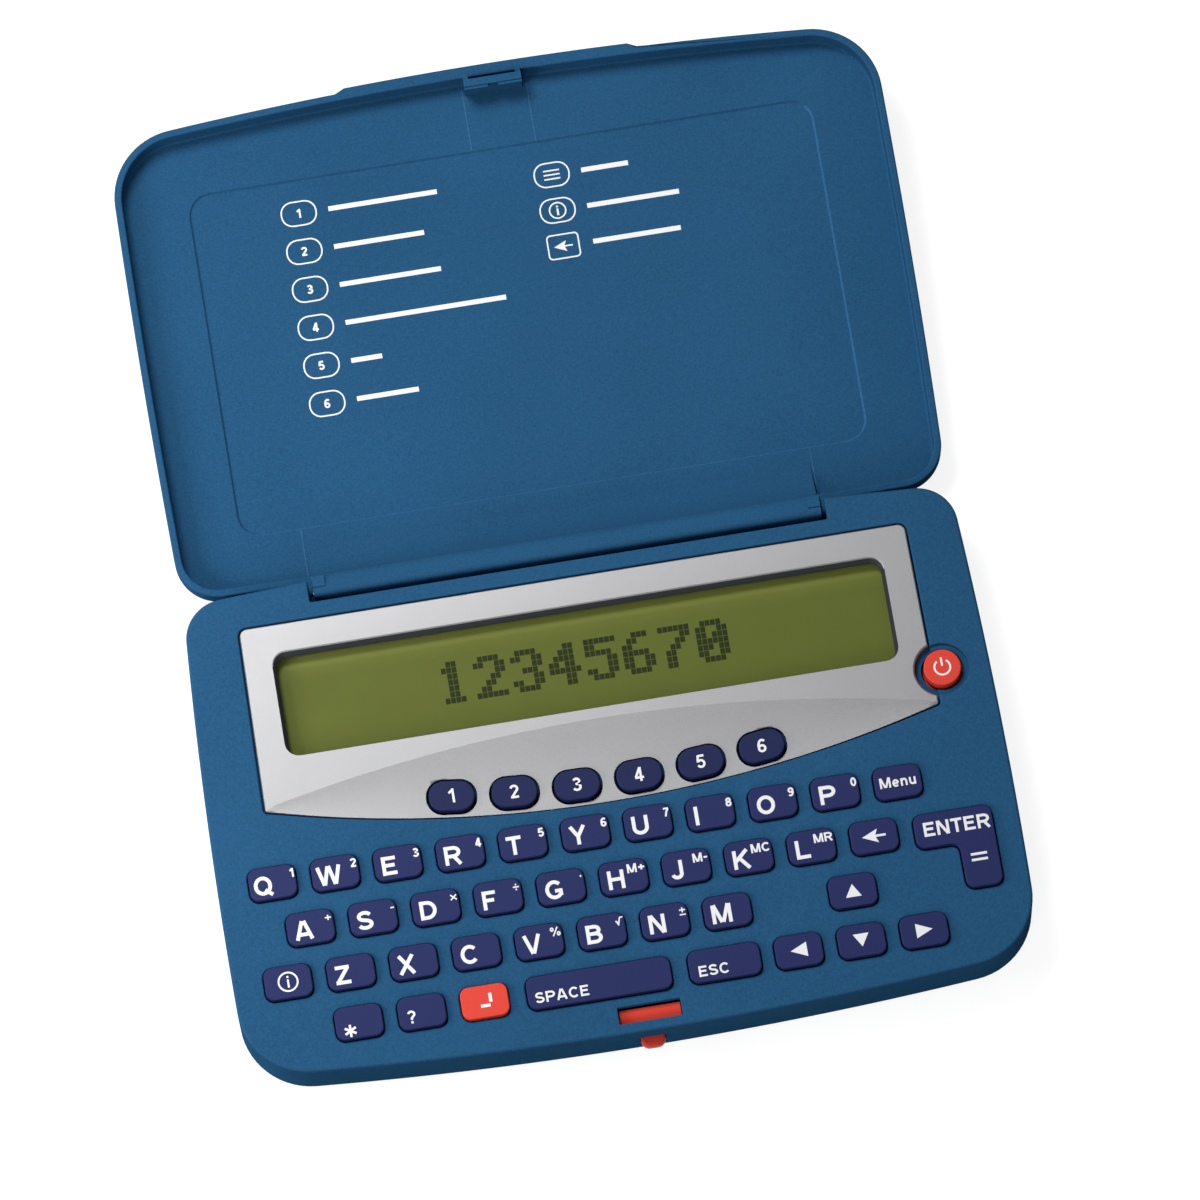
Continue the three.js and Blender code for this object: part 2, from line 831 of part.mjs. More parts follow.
// Thumb lip along the middle of the lid's front edge
function thumbLip() {
  const centre = new THREE.Vector2(0, lidFront + caseFrontArc);
  const arcTo = (radius, half) => {
    const spread = half / radius;
    return arcPoints(centre, radius, -Math.PI / 2 - spread, -Math.PI / 2 + spread, edgeSteps);
  };
  const outer = arcTo(caseFrontArc + lipProud, lipHalfWidth - lipTaper);
  const inner = arcTo(caseFrontArc - lidWall / 2, lipHalfWidth).reverse();
  return prism([...outer, ...inner], lidRim, lidRim + lipHeight);
}

// Tongue: barrel round the hinge pin, web and the ramp that joins it to the lid's inside
function tongue() {
  const half = recessHalfWidth - tongueSideGap;
  const axis = new THREE.Vector2(hingeY, hingeZ);
  const webAngle = Math.acos((lidRear - hingeY) / barrelRadius);
  const profile = [
    ...arcPoints(axis, barrelRadius, -Math.PI, webAngle, roundSides),
    new THREE.Vector2(lidRear, lidInside + lidTop / 2),
    new THREE.Vector2(lidRear - tongueWeb - tongueRampLength, lidInside + lidTop / 2),
    new THREE.Vector2(lidRear - tongueWeb - tongueRampLength, lidInside),
    new THREE.Vector2(lidRear - tongueWeb, lidRim + lidRimGap),
    new THREE.Vector2(recessFront + recessLidGap, lidRim - lidRimGap),
  ];
  return alongX(profile, -half, half);
}

// Latch hook: plate on two ribs behind the lid's front wall, with a lip at its tip
function latchHook() {
  const left = slotLeft + hookSideGap;
  const right = slotRight - hookSideGap;
  const rear = slotRear - hookRearGap;
  const tip = lidRim - hookReach;
  const plate = block(left, right, rear - hookThickness, rear, tip, lidInside + lidTop / 2);
  const lip = block(left, right, rear - hookThickness - hookLipReach, rear, tip, tip + hookLipHeight);
  const ribFront = lidFront + lidWall / 2;
  const ribs = [left, right - hookRibWidth].map((x) => (
    block(x, x + hookRibWidth, ribFront, rear - hookThickness / 2, lidRim, lidInside + lidTop / 2)
  ));
  return plate.add(lip).add(ribs[0]).add(ribs[1]);
}

function lidSolid() {
  const outside = loft(filletRings(lidOutline, lidRim, lidOutside, lidFillet));
  const inner = (inset) => lidOutline(lidWall + inset);
  const inside = loft([
    { points: inner(0), z: lidRim - overrun },
    { points: inner(0), z: lidInside - lidInnerFillet },
    { points: inner(lidInnerFillet), z: lidInside },
  ]);
  const panel = prism(
    roundedPolygon(
      rectangle(0, (panelRear + panelFront) / 2, 2 * panelHalfWidth, panelRear - panelFront),
      panelCorner,
      0,
      smoothCornerSteps,
    ),
    lidInside - overrun,
    lidInside + panelDepth,
  );
  const bore = alongX(
    arcPoints(
      new THREE.Vector2(hingeY, hingeZ),
      pinRadius + gap,
      0,
      2 * Math.PI * (1 - 1 / roundSides),
      roundSides - 1,
    ),
    -recessHalfWidth,
    recessHalfWidth,
  );
  return outside
    .subtract(inside)
    .subtract(panel)
    .add(thumbLip())
    .add(tongue())
    .add(latchHook())
    .subtract(bore);
}

// Latch slider: plate under the slot, push button through the front wall, leg for the spring
function releaseButton() {
  const plate = block(
    latchX - sliderHalfWidth,
    latchX + sliderHalfWidth,
    sliderFront,
    sliderRear,
    sliderBottom,
    sliderTop,
  );
  const leg = block(
    pushX - pushWidth / 2,
    pushX + pushWidth / 2,
    sliderRear - sliderLegDepth,
    sliderRear,
    sliderTop - sliderThickness / 2 - sliderLegHeight,
    sliderTop - sliderThickness / 2,
  );
  const pushFront = caseFront - pushProud;
  const push = roundedPolygon(
    rectangle(pushX, (pushFront + sliderRear) / 2, pushWidth, sliderRear - pushFront),
    pushCorner,
  );
  return plate.add(leg).add(prism(push, pushBottom, pushTop));
}

// Spring: one unbroken helix tube lying along Y
function releaseSpring() {
  const steps = springTurns * springSteps;
  const start = sliderRear + gap + springWire / 2;
  const length = springLength - springWire;
  const positions = [];
  for (let i = 0; i <= steps; i += 1) {
    const angle = (2 * Math.PI * i) / springSteps;
    for (let side = 0; side < springSides; side += 1) {
      const turn = (2 * Math.PI * side) / springSides;
      const radius = springRadius + (springWire / 2) * Math.cos(turn);
      positions.push(
        pushX + radius * Math.cos(angle),
        start + (length * i) / steps + (springWire / 2) * Math.sin(turn),
        springHeight + radius * Math.sin(angle),
      );
    }
  }
  const index = [];
  for (let i = 0; i < steps; i += 1) {
    for (let side = 0; side < springSides; side += 1) {
      const a = i * springSides + side;
      const b = i * springSides + ((side + 1) % springSides);
      index.push(a, b, b + springSides, a, b + springSides, a + springSides);
    }
  }
  const last = steps * springSides;
  for (let side = 1; side < springSides - 1; side += 1) {
    index.push(0, side + 1, side);
    index.push(last, last + side, last + side + 1);
  }
  const geometry = new THREE.BufferGeometry();
  geometry.setAttribute('position', new THREE.Float32BufferAttribute(positions, 3));
  geometry.setIndex(index);
  return toSolid(geometry);
}

function displayBezel() {
  const slab = loft([
    { points: bezelOutline(0), z: bezelBottom },
    { points: bezelOutline(0), z: caseHeight - bezelBevel },
    { points: bezelOutline(-bezelBevel), z: caseHeight },
  ]);
  const opening = loft([
    { points: viewRing(0), z: bezelBottom - overrun },
    { points: viewRing(0), z: bezelBottom },
    { points: viewRing(viewBevel), z: caseHeight },
    { points: viewRing(viewBevel), z: caseHeight + overrun },
  ]);
  let plate = slab.subtract(opening);
  ovals.forEach((oval) => {
    plate = plate.subtract(keyHole(oval));
  });
  return plate.subtract(roundBar(
    powerX,
    powerY,
    powerDishRadius + bezelClearance,
    partingHeight,
    caseHeight + overrun,
  ));
}

const windowTop = bezelBottom - gap;
const windowBottom = windowTop - windowThickness;
const glassTop = windowBottom - gap;

// Holes that the board and the sheet leave for the screw bosses
function withoutBosses(solid) {
  let rest = solid;
  bosses.forEach(({ x, y }) => {
    [-1, 1].forEach((side) => {
      rest = rest.subtract(roundBar(
        side * x,
        y,
        bossRadius + boardCutClearance,
        0,
        caseHeight,
      ));
    });
  });
  return rest;
}

function circuitBoard() {
  const blank = prism(caseOutline(boardInset), boardBottom, boardTop);
  const behind = block(-caseHalfWidth, caseHalfWidth, boardRear, caseRear, 0, caseHeight);
  const latchRoom = block(
    latchX - sliderHalfWidth - overrun,
    latchX + sliderHalfWidth + overrun,
    caseFront,
    sliderRear + sliderTravel + gap,
    0,
    caseHeight,
  );
  return withoutBosses(blank.subtract(behind).subtract(latchRoom));
}

function keypadMembrane() {
  const left = keyFirstX - keyWidth / 2 - sheetMargin;
  const right = enterRight + sheetMargin;
  const front = lastRowY - keyHeight / 2;
  const sheet = block(left, right, front, sheetRear, sheetBottom, sheetTop);
  const tab = block(
    powerX - powerTabMargin,
    powerX + powerTabMargin,
    rowY(0),
    powerY + powerTabMargin,
    sheetBottom,
    sheetTop,
  );
  const room = prism(caseOutline(sideThickness + 2 * gap), 0, caseHeight);
  return withoutBosses(sheet.add(tab).intersect(room));
}

function lcdPanel() {
  return prism(
    rectangle(0, viewY, viewWidth + 2 * glassMarginX, viewHeight + 2 * glassMarginY),
    boardTop + gap,
    glassTop,
  );
}

function batteryContact() {
  const high = boardBottom - gap / 2;
  const edge = cellX + doorHalfWidth + 2 * gap + cellWellWall;
  const strip = block(
    edge - contactLength,
    edge + contactThickness,
    cellY - contactWidth / 2,
    cellY + contactWidth / 2,
    high - contactThickness,
    high,
  );
  const leg = block(
    edge,
    edge + contactThickness,
    cellY - contactWidth / 2,
    cellY + contactWidth / 2,
    high - contactTab,
    high,
  );
  return strip.add(leg);
}

function powerButton() {
  const flange = roundBar(powerX, powerY, powerRadius + 2 * keyFlange, flangeBottom, flangeTop);
  const body = roundBar(powerX, powerY, powerRadius, flangeBottom, keyTop - keyBevel);
  const circle = (radius) => arcPoints(
    new THREE.Vector2(powerX, powerY),
    radius,
    0,
    2 * Math.PI * (1 - 1 / roundSides),
    roundSides - 1,
  );
  const crown = loft([
    { points: circle(powerRadius), z: caseHeight },
    { points: circle(powerRadius), z: keyTop - keyBevel },
    { points: circle(powerRadius - keyBevel), z: keyTop },
  ]);
  return flange.add(body).add(crown);
}

addPart('upper_case', upperCase(), blue);
addPart('lower_case', lowerCase(), blue);
addPart('display_bezel', displayBezel(), silver);
addPart('display_window', prism(viewRing(windowMargin), windowBottom, windowTop), clear);
addPart('lcd_panel', lcdPanel(), liquidCrystal);
addPart('circuit_board', circuitBoard(), boardGreen);
addPart('keypad_membrane', keypadMembrane(), silicone);
keys.forEach((key) => addPart(key.name, keySolid(key), key.finish));
ovals.forEach((oval) => addPart(oval.name, keySolid(oval), oval.finish));
addPart('power_button', powerButton(), red);
addPart('release_button', releaseButton(), red);
addPart('release_spring', releaseSpring(), steel);
addPart('battery_door', batteryDoor(), blue);
addPart('coin_cell', roundBar(cellX, cellY, cellRadius, cellBottom, cellTop, cellSides), steel);
addPart('battery_contact', batteryContact(), steel);

const pinHalf = recessHalfWidth + pinBite;
addPart('hinge_pin', alongX(
  arcPoints(
    new THREE.Vector2(hingeY, hingeZ),
    pinRadius,
    0,
    2 * Math.PI * (1 - 1 / (roundSides / 2)),
    roundSides / 2 - 1,
  ),
  -pinHalf,
  pinHalf,
), steel);

// The lid turns about the hinge line, from closed to its open stop
const hinge = new THREE.Group();
hinge.position.set(0, hingeY, hingeZ);
hinge.rotation.x = -THREE.MathUtils.degToRad(openAngle);
group.add(hinge);
const closedLid = new THREE.Group();
closedLid.position.set(0, -hingeY, -hingeZ);
hinge.add(closedLid);
addPart('lid', lidSolid(), blue, closedLid);

export default group;
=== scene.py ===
import json
import math

import bpy
from mathutils import Matrix, Vector

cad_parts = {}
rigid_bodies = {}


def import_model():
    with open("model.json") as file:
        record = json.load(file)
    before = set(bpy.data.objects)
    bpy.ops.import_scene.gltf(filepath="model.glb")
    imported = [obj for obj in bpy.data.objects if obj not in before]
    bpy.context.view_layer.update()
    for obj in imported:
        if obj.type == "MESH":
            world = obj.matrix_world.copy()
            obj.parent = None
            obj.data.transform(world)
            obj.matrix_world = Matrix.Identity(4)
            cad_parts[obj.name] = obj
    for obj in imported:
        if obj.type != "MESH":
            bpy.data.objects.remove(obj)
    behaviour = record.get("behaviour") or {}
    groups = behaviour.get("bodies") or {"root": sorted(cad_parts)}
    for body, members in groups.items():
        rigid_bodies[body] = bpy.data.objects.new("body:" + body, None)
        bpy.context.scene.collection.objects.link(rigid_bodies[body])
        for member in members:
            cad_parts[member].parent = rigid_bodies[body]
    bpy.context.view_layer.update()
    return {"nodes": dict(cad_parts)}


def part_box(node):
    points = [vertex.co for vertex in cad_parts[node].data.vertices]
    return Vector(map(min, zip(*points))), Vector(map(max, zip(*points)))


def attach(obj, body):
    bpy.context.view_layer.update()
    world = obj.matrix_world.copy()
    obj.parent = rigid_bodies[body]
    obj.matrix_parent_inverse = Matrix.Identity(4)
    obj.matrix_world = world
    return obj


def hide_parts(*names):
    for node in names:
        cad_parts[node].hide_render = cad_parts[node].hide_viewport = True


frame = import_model()
MM = 0.001

# Camera: a long lens 1.5 m away, 72 degrees above the table and a little to the left.
# The whole picture is rolled by about four degrees, as the object stands in the photograph.
camera_elevation = math.radians(72)
camera_side = math.radians(-5.454)
camera_roll = math.radians(-3.952)
camera_distance = 1500 * MM
camera_shift = Vector((-3.695, -2.634)) * MM
camera_target = Vector((0, 30.7, 0)) * MM
sensor_width = 36
picture_width = 1200
focal_pixels = 9456.6

back = Vector((
    math.sin(camera_side) * math.cos(camera_elevation),
    -math.cos(camera_side) * math.cos(camera_elevation),
    math.sin(camera_elevation),
))
level = Vector((math.cos(camera_side), math.sin(camera_side), 0))
upright = back.cross(level)
right = level * math.cos(camera_roll) + upright * math.sin(camera_roll)
up = upright * math.cos(camera_roll) - level * math.sin(camera_roll)
camera_data = bpy.data.cameras.new("camera")
camera_data.sensor_width = sensor_width
camera_data.lens = sensor_width * focal_pixels / picture_width
camera = bpy.data.objects.new("camera", camera_data)
bpy.context.scene.collection.objects.link(camera)
camera.location = camera_target - right * camera_shift.x - up * camera_shift.y + back * camera_distance
camera.rotation_mode = "QUATERNION"
camera.rotation_quaternion = Matrix((right, up, back)).transposed().to_quaternion()
bpy.context.scene.camera = camera

# Upper case: the blue moulded shell that carries the keys and the bezel.
# ABS from one mould, with a fine matte texture, bowed edges and a hole for each key,
# screwed from below to the lower case.
case_low, case_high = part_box("upper_case")
case_half_width = case_high.x
case_top = case_high.z
case_parting = case_low.z
case_wall = 1.6 * MM
plate_thickness = 1.8 * MM
case_rim = 0.5 * MM
hole_rim = 0.22 * MM
seam_groove = 0.15 * MM
key_clearance = 0.18 * MM
key_corner = 1.4 * MM
key_flange = 0.35 * MM
oval_corner = 2.3 * MM
oval_clearance = 0.3 * MM
overrun = 1 * MM
near = 0.005 * MM
sharp_angle = math.radians(30)
smooth_angle = math.radians(32)
case_shape = {
    "half_width": case_half_width,
    "front": case_low.y,
    "rear": 41.4 * MM,
    "front_arc": 644 * MM,
    "rear_arc": 955 * MM,
    "side_arc": 830 * MM,
    "side_middle": -11.3 * MM,
    "front_corner": 11.3 * MM,
    "rear_corner": 6.5 * MM,
}
blue = (0.023, 0.097, 0.208)


def arc(centre, radius, start, end, steps):
    """Points on an arc, both ends included."""
    angles = [start + (end - start) * i / steps for i in range(steps + 1)]
    return [(centre[0] + radius * math.cos(a), centre[1] + radius * math.sin(a)) for a in angles]


def circle(x, y, radius, steps=28):
    """Points round a circle."""
    return arc((x, y), radius, 0, 2 * math.pi * (1 - 1 / steps), steps - 1)


def crossing(first, first_radius, second, second_radius):
    """Where two circles cross, on the side with the larger x."""
    line = Vector(second) - Vector(first)
    along = (line.length_squared + first_radius ** 2 - second_radius ** 2) / (2 * line.length)
    across = math.sqrt(first_radius ** 2 - along ** 2)
    foot = Vector(first) + line.normalized() * along
    side = Vector((-line.y, line.x)).normalized() * across
    return max(foot + side, foot - side, key=lambda point: point.x)


def bowed_outline(shape, inset=0, corner_steps=14, edge_steps=16):
    """An outline of four bowed edges and round corners: the right half, then its mirror image."""
    side_centre = Vector((shape["half_width"] - shape["side_arc"], shape["side_middle"]))
    front_centre = Vector((0, shape["front"] + shape["front_arc"]))
    rear_centre = Vector((0, shape["rear"] - shape["rear_arc"]))
    corners = []
    for centre, radius, corner in (
        (front_centre, shape["front_arc"], shape["front_corner"]),
        (rear_centre, shape["rear_arc"], shape["rear_corner"]),
    ):
        corners.append(crossing(side_centre, shape["side_arc"] - corner, centre, radius - corner))
    front_corner, rear_corner = corners

    def heading(start, end):
        return math.atan2(end.y - start.y, end.x - start.x)

    front_angle = heading(front_centre, front_corner)
    low_angle = heading(side_centre, front_corner)
    high_angle = heading(side_centre, rear_corner)
    rear_angle = heading(rear_centre, rear_corner)
    half = arc(front_centre, shape["front_arc"] - inset, -math.pi / 2, front_angle, edge_steps)
    half += arc(front_corner, shape["front_corner"] - inset, front_angle, low_angle, corner_steps)[1:]
    half += arc(side_centre, shape["side_arc"] - inset, low_angle, high_angle, edge_steps)[1:]
    half += arc(rear_corner, shape["rear_corner"] - inset, high_angle, rear_angle, corner_steps)[1:]
    half += arc(rear_centre, shape["rear_arc"] - inset, rear_angle, math.pi / 2, edge_steps)[1:]
    return half + [(-x, y) for x, y in half[-2:0:-1]]


def rounded(corners, radius, margin=0, steps=7):
    """A polygon with round corners, grown outwards by a margin. The corners run anticlockwise."""
    points = []
    for i, corner in enumerate(corners):
        here = Vector(corner)
        before = (Vector(corners[i - 1]) - here).normalized()
        after = (Vector(corners[(i + 1) % len(corners)]) - here).normalized()
        outer = before.x * after.y - before.y * after.x < 0
        half = before.angle(after) / 2
        middle = (before + after).normalized()
        centre = here + middle * radius / math.sin(half)
        towards = math.atan2(-middle.y, -middle.x)
        spread = (math.pi / 2 - half) * (1 if outer else -1)
        grown = radius + margin if outer else radius - margin
        points += arc(centre, grown, towards - spread, towards + spread, steps)
    return points


def rectangle(x, y, width, height, angle=0):
    """Corners of a rectangle about its middle, turned by an angle."""
    turn = Matrix.Rotation(angle, 2)
    signs = ((-1, -1), (1, -1), (1, 1), (-1, 1))
    return [tuple(Vector((x, y)) + turn @ Vector((a * width / 2, b * height / 2))) for a, b in signs]


def place_ring(piece, outline, new_outline, height, new_height):
    """Moves the ring of vertices at a height onto another outline of as many points."""
    for vertex in piece.data.vertices:
        if abs(vertex.co.z - height) < near:
            here = vertex.co.xy
            nearest = min(range(len(outline)), key=lambda i: (Vector(outline[i]) - here).length)
            vertex.co = (*new_outline[nearest], new_height)


def make_active(piece):
    """Selects one piece alone."""
    bpy.ops.object.select_all(action="DESELECT")
    piece.select_set(True)
    bpy.context.view_layer.objects.active = piece


def slab(name, outline, low, high):
    """A plate with that outline between two heights."""
    return loft(name, [(outline, low), (outline, high)])


def loft(name, rings):
    """A closed shape through outlines of as many points at rising heights."""
    first, low = rings[0]
    bpy.ops.object.select_all(action="DESELECT")
    bpy.ops.mesh.primitive_circle_add(vertices=len(first), radius=1, fill_type="NGON")
    piece = bpy.context.object
    piece.name = name
    for vertex, (x, y) in zip(piece.data.vertices, first):
        vertex.co = (x, y, low)
    for (before, low), (outline, high) in zip(rings, rings[1:]):
        bpy.ops.object.mode_set(mode="EDIT")
        bpy.ops.mesh.extrude_region_move(TRANSFORM_OT_translate={"value": (0, 0, overrun)})
        bpy.ops.object.mode_set(mode="OBJECT")
        place_ring(piece, before, outline, low + overrun, high)
    bpy.ops.object.mode_set(mode="EDIT")
    bpy.ops.mesh.select_all(action="SELECT")
    bpy.ops.mesh.normals_make_consistent(inside=False)
    bpy.ops.object.mode_set(mode="OBJECT")
    return piece


def mouth(outline_at, low, top, rim, steps=4):
    """A cutter for a hole through a surface, with a rounded rim there."""
    rings = [(outline_at(0), low)]
    for i in range(steps + 1):
        rise = rim * math.sin(math.pi / 2 * i / steps)
        spread = rim - math.sqrt(rim ** 2 - rise ** 2)
        rings.append((outline_at(spread), top - rim + rise))
    rings.append((outline_at(rim), top + overrun))
    return loft("mouth", rings)


def box(name, x0, x1, y0, y1, z0, z1):
    """A block between two corners."""
    bpy.ops.object.select_all(action="DESELECT")
    middle = ((x0 + x1) / 2, (y0 + y1) / 2, (z0 + z1) / 2)
    bpy.ops.mesh.primitive_cube_add(size=1, location=middle, scale=(x1 - x0, y1 - y0, z1 - z0))
    bpy.ops.object.transform_apply(location=True, rotation=True, scale=True)
    bpy.context.object.name = name
    return bpy.context.object


def disc(name, x, y, radius, low, high, sides=48):
    """An upright round bar."""
    bpy.ops.object.select_all(action="DESELECT")
    bpy.ops.mesh.primitive_cylinder_add(
        vertices=sides,
        radius=radius,
        depth=high - low,
        location=(x, y, (low + high) / 2),
    )
    bpy.ops.object.transform_apply(location=True, rotation=True, scale=True)
    bpy.context.object.name = name
    return bpy.context.object


def choose_edges(piece, test):
    """Selects the edges that pass a test, and leaves the piece in edit mode."""
    make_active(piece)
    bpy.ops.object.mode_set(mode="EDIT")
    bpy.ops.mesh.select_mode(type="EDGE")
    bpy.ops.mesh.select_all(action="DESELECT")
    bpy.ops.object.mode_set(mode="OBJECT")
    mesh = piece.data
    for edge in mesh.edges:
        ends = [mesh.vertices[i] for i in edge.vertices]
        edge.select = test(edge, *(end.co for end in ends))
        if edge.select:
            for end in ends:
                end.select = True
    bpy.ops.object.mode_set(mode="EDIT")


def sharp_edges(piece):
    """The piece's edges at which its surface turns sharply, as pairs of vertex numbers."""
    normals = {}
    for face in piece.data.polygons:
        for key in face.edge_keys:
            normals.setdefault(key, []).append(face.normal)
    limit = math.cos(sharp_angle)
    return {key for key, found in normals.items() if len(found) == 2 and found[0].dot(found[1]) < limit}


def round_edges(piece, width, segments, height):
    """Rounds the sharp edges that lie at a height."""
    sharp = sharp_edges(piece)

    def at_height(edge, *ends):
        return tuple(sorted(edge.vertices)) in sharp and all(abs(end.z - height) < near for end in ends)

    choose_edges(piece, at_height)
    bpy.ops.mesh.bevel(offset=width, segments=segments, affect="EDGES", clamp_overlap=False)
    bpy.ops.object.mode_set(mode="OBJECT")


def combine(piece, other, operation="DIFFERENCE"):
    """Cuts a closed shape out of another or unites the two, and deletes the second."""
    make_active(piece)
    modifier = piece.modifiers.new("combine", "BOOLEAN")
    modifier.operation = operation
    modifier.solver = "EXACT"
    modifier.object = other
    bpy.ops.object.modifier_apply(modifier=modifier.name)
    bpy.data.objects.remove(other)


def join(pieces):
    """One object from several, under the first one's name."""
    make_active(pieces[0])
    for piece in pieces[1:]:
        piece.select_set(True)
    bpy.ops.object.join()
    return pieces[0]


def smooth(piece, crease=None):
    """Smooth shading, broken at sharp edges and at a crease, with the large faces kept flat."""
    make_active(piece)
    bpy.ops.object.shade_smooth_by_angle(angle=smooth_angle)
    if crease:
        choose_edges(piece, crease)
        bpy.ops.mesh.mark_sharp()
        bpy.ops.object.mode_set(mode="OBJECT")
    flat = piece.modifiers.new("flat", "WEIGHTED_NORMAL")
    flat.keep_sharp = True
    bpy.ops.object.modifier_apply(modifier=flat.name)


class Value:
    """A shader socket that takes part in sums: each sum adds its Math node."""

    def __init__(self, tree, socket):
        self.tree = tree
        self.socket = socket

    def math(self, operation, *terms):
        node = self.tree.nodes.new("ShaderNodeMath")
        node.operation = operation
        for slot, term in zip(node.inputs, terms):
            if isinstance(term, Value):
                self.tree.links.new(term.socket, slot)
            else:
                slot.default_value = term
        return Value(self.tree, node.outputs[0])

    def __add__(self, other):
        return self.math("ADD", self, other)

    def __radd__(self, other):
        return self.math("ADD", other, self)

    def __sub__(self, other):
        return self.math("SUBTRACT", self, other)

    def __rsub__(self, other):
        return self.math("SUBTRACT", other, self)

    def __mul__(self, other):
        return self.math("MULTIPLY", self, other)

    def __rmul__(self, other):
        return self.math("MULTIPLY", other, self)

    def __truediv__(self, other):
        return self.math("DIVIDE", self, other)

    def __rtruediv__(self, other):
        return self.math("DIVIDE", other, self)

    def __lt__(self, other):
        return self.math("LESS_THAN", self, other)

    def __gt__(self, other):
        return self.math("GREATER_THAN", self, other)

    def kept(self):
        """The value kept from 0 to 1."""
        return self.math("MINIMUM", self.math("MAXIMUM", self, 0.0), 1.0)


class Finish:
    """A material's nodes: one method adds any node, another sets the surface's sockets."""

    def __init__(self, name):
        self.material = bpy.data.materials.new(name)
        self.material.use_nodes = True
        self.tree = self.material.node_tree
        self.surface = self.tree.nodes["Principled BSDF"]

    def node(self, kind, settings=None, inputs=None, output=0):
        node = self.tree.nodes.new("ShaderNode" + kind)
        for name, setting in (settings or {}).items():
            setattr(node, name, setting)
        for name, value in (inputs or {}).items():
            self.put(node.inputs[name], value)
        return Value(self.tree, node.outputs[output])

    def put(self, socket, value):
        if isinstance(value, Value):
            self.tree.links.new(value.socket, socket)
        elif isinstance(value, tuple) and len(value) == 3 and len(socket.default_value) == 4:
            socket.default_value = (*value, 1)
        else:
            socket.default_value = value

    def wear(self, **sockets):
        for name, value in sockets.items():
            self.put(self.surface.inputs[name.replace("_", " ")], value)
        return self.material

    def place(self):
        """The point on the surface, in metres."""
        return self.node("TexCoord", output="Object")

    def grain(self, pitch, detail=2.0, roughness=0.5):
        """Noise from 0 to 1 with features of about that pitch."""
        settings = {"Vector": self.place(), "Scale": 1 / pitch, "Detail": detail, "Roughness": roughness}
        return self.node("TexNoise", inputs=settings)

    def blend(self, share, first, second):
        """A colour between two others."""
        return self.node("Mix", {"data_type": "RGBA"}, {0: share, 6: first, 7: second}, output=2)

    def bump(self, height, depth):
        """A normal from a height from 0 to 1 that stands for a depth in metres."""
        return self.node("Bump", inputs={"Height": height, "Distance": depth, "Strength": 1.0})


def shade(colour, share):
    """A colour made lighter or darker by a share."""
    return tuple(min(1.0, c * share) for c in colour)


speck_pitch = 5 * MM
speck_size = 0.028
drift_pitch = 22 * MM


def moulded(name, colour, roughness, pitch, depth, mottle, sheen=0.3, dust=0.0):
    """Moulded plastic: spark texture of a pitch and depth, mottled by a slow drift of tone, and dust."""
    finish = Finish(name)
    fine = ((finish.grain(pitch, detail=3.0, roughness=0.6) - 0.5) * 2.2 + 0.5).kept()
    cloudy = finish.grain(drift_pitch, detail=1.0)
    cells = finish.node("TexVoronoi", inputs={"Vector": finish.place(), "Scale": 1 / speck_pitch})
    specks = cells < speck_size
    tone = (fine * 0.62 + cloudy * 0.38 - specks * dust).kept()
    colours = finish.blend(tone, shade(colour, 1 - mottle), shade(colour, 1 + mottle))
    return finish.wear(
        Base_Color=colours,
        Roughness=fine * 0.16 + (roughness - 0.08),
        Normal=finish.bump(fine, depth),
        Specular_IOR_Level=sheen,
    )


blue_plastic = moulded("blue_plastic", blue, 0.6, 0.34 * MM, 0.02 * MM, mottle=0.26, sheen=0.0, dust=1.6)


def dress(piece, *materials):
    """Gives a piece its materials, in place of any that it has."""
    piece.data.materials.clear()
    for material in materials:
        piece.data.materials.append(material)


def key_outline(node, margin=0):
    """A key's outline at the case's top, from its node's box, grown by a margin."""
    low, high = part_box(node)
    x, y = ((low + high) / 2).xy
    if node.startswith("function"):
        angle = math.asin((x - oval_middle_x) / oval_arc)
        return rounded(rectangle(x, y, oval_width, oval_height, angle), oval_corner, margin, 9)
    left, right = low.x + key_flange, high.x - key_flange
    bottom, top = low.y + key_flange, high.y - key_flange
    corners = rectangle(x, y, right - left, top - bottom)
    if node == "key_enter":
        arm = top - enter_arm_height
        stem = right - enter_stem_width
        corners = [(left, top), (left, arm), (stem, arm), (stem, bottom), (right, bottom), (right, top)]
    return rounded(corners, key_corner, margin)


enter_arm_height = 5.5 * MM
enter_stem_width = 5.8 * MM
oval_width = 7.2 * MM
oval_height = 4.9 * MM
oval_middle_x = 0.3 * MM
oval_arc = 205 * MM
key_nodes = [name for name in frame["nodes"] if name.startswith("key_")]
oval_nodes = [name for name in frame["nodes"] if name.startswith("function_button")]
power_low, power_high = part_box("power_button")
power_middle = (power_low + power_high) / 2
power_radius = 2.94 * MM
power_hole_radius = power_radius + 0.4 * MM
power_hole_rim = 0.1 * MM
dish_radius = 4.1 * MM
dish_depth = 0.5 * MM
dish_rim = 1.5 * hole_rim
bezel_low, bezel_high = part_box("display_bezel")
bezel_clearance = 0.25 * MM
bezel_low_half_width = bezel_high.x
bezel_top_half_width = 53.2 * MM
bezel_low_y = 3.9 * MM
bezel_corner = 1.2 * MM
bezel_low_corner = 0.5 * MM
view_low, view_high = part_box("display_window")
view_middle = (view_low + view_high) / 2
window_margin = 1.5 * MM
view_width = view_high.x - view_low.x - 2 * window_margin
view_height = view_high.y - view_low.y - 2 * window_margin
view_corner = 1.8 * MM
pin_low, pin_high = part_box("hinge_pin")
hinge_y = (pin_low.y + pin_high.y) / 2
hinge_z = (pin_low.z + pin_high.z) / 2
recess_half_width = 41.4 * MM
recess_front = 36.9 * MM
recess_wall = 2 * MM
recess_outer = recess_half_width + recess_wall
behind = case_high.y + overrun
slot_middle_x = 0.7 * MM
slot_width = 9.9 * MM
slot_rear = -36.65 * MM
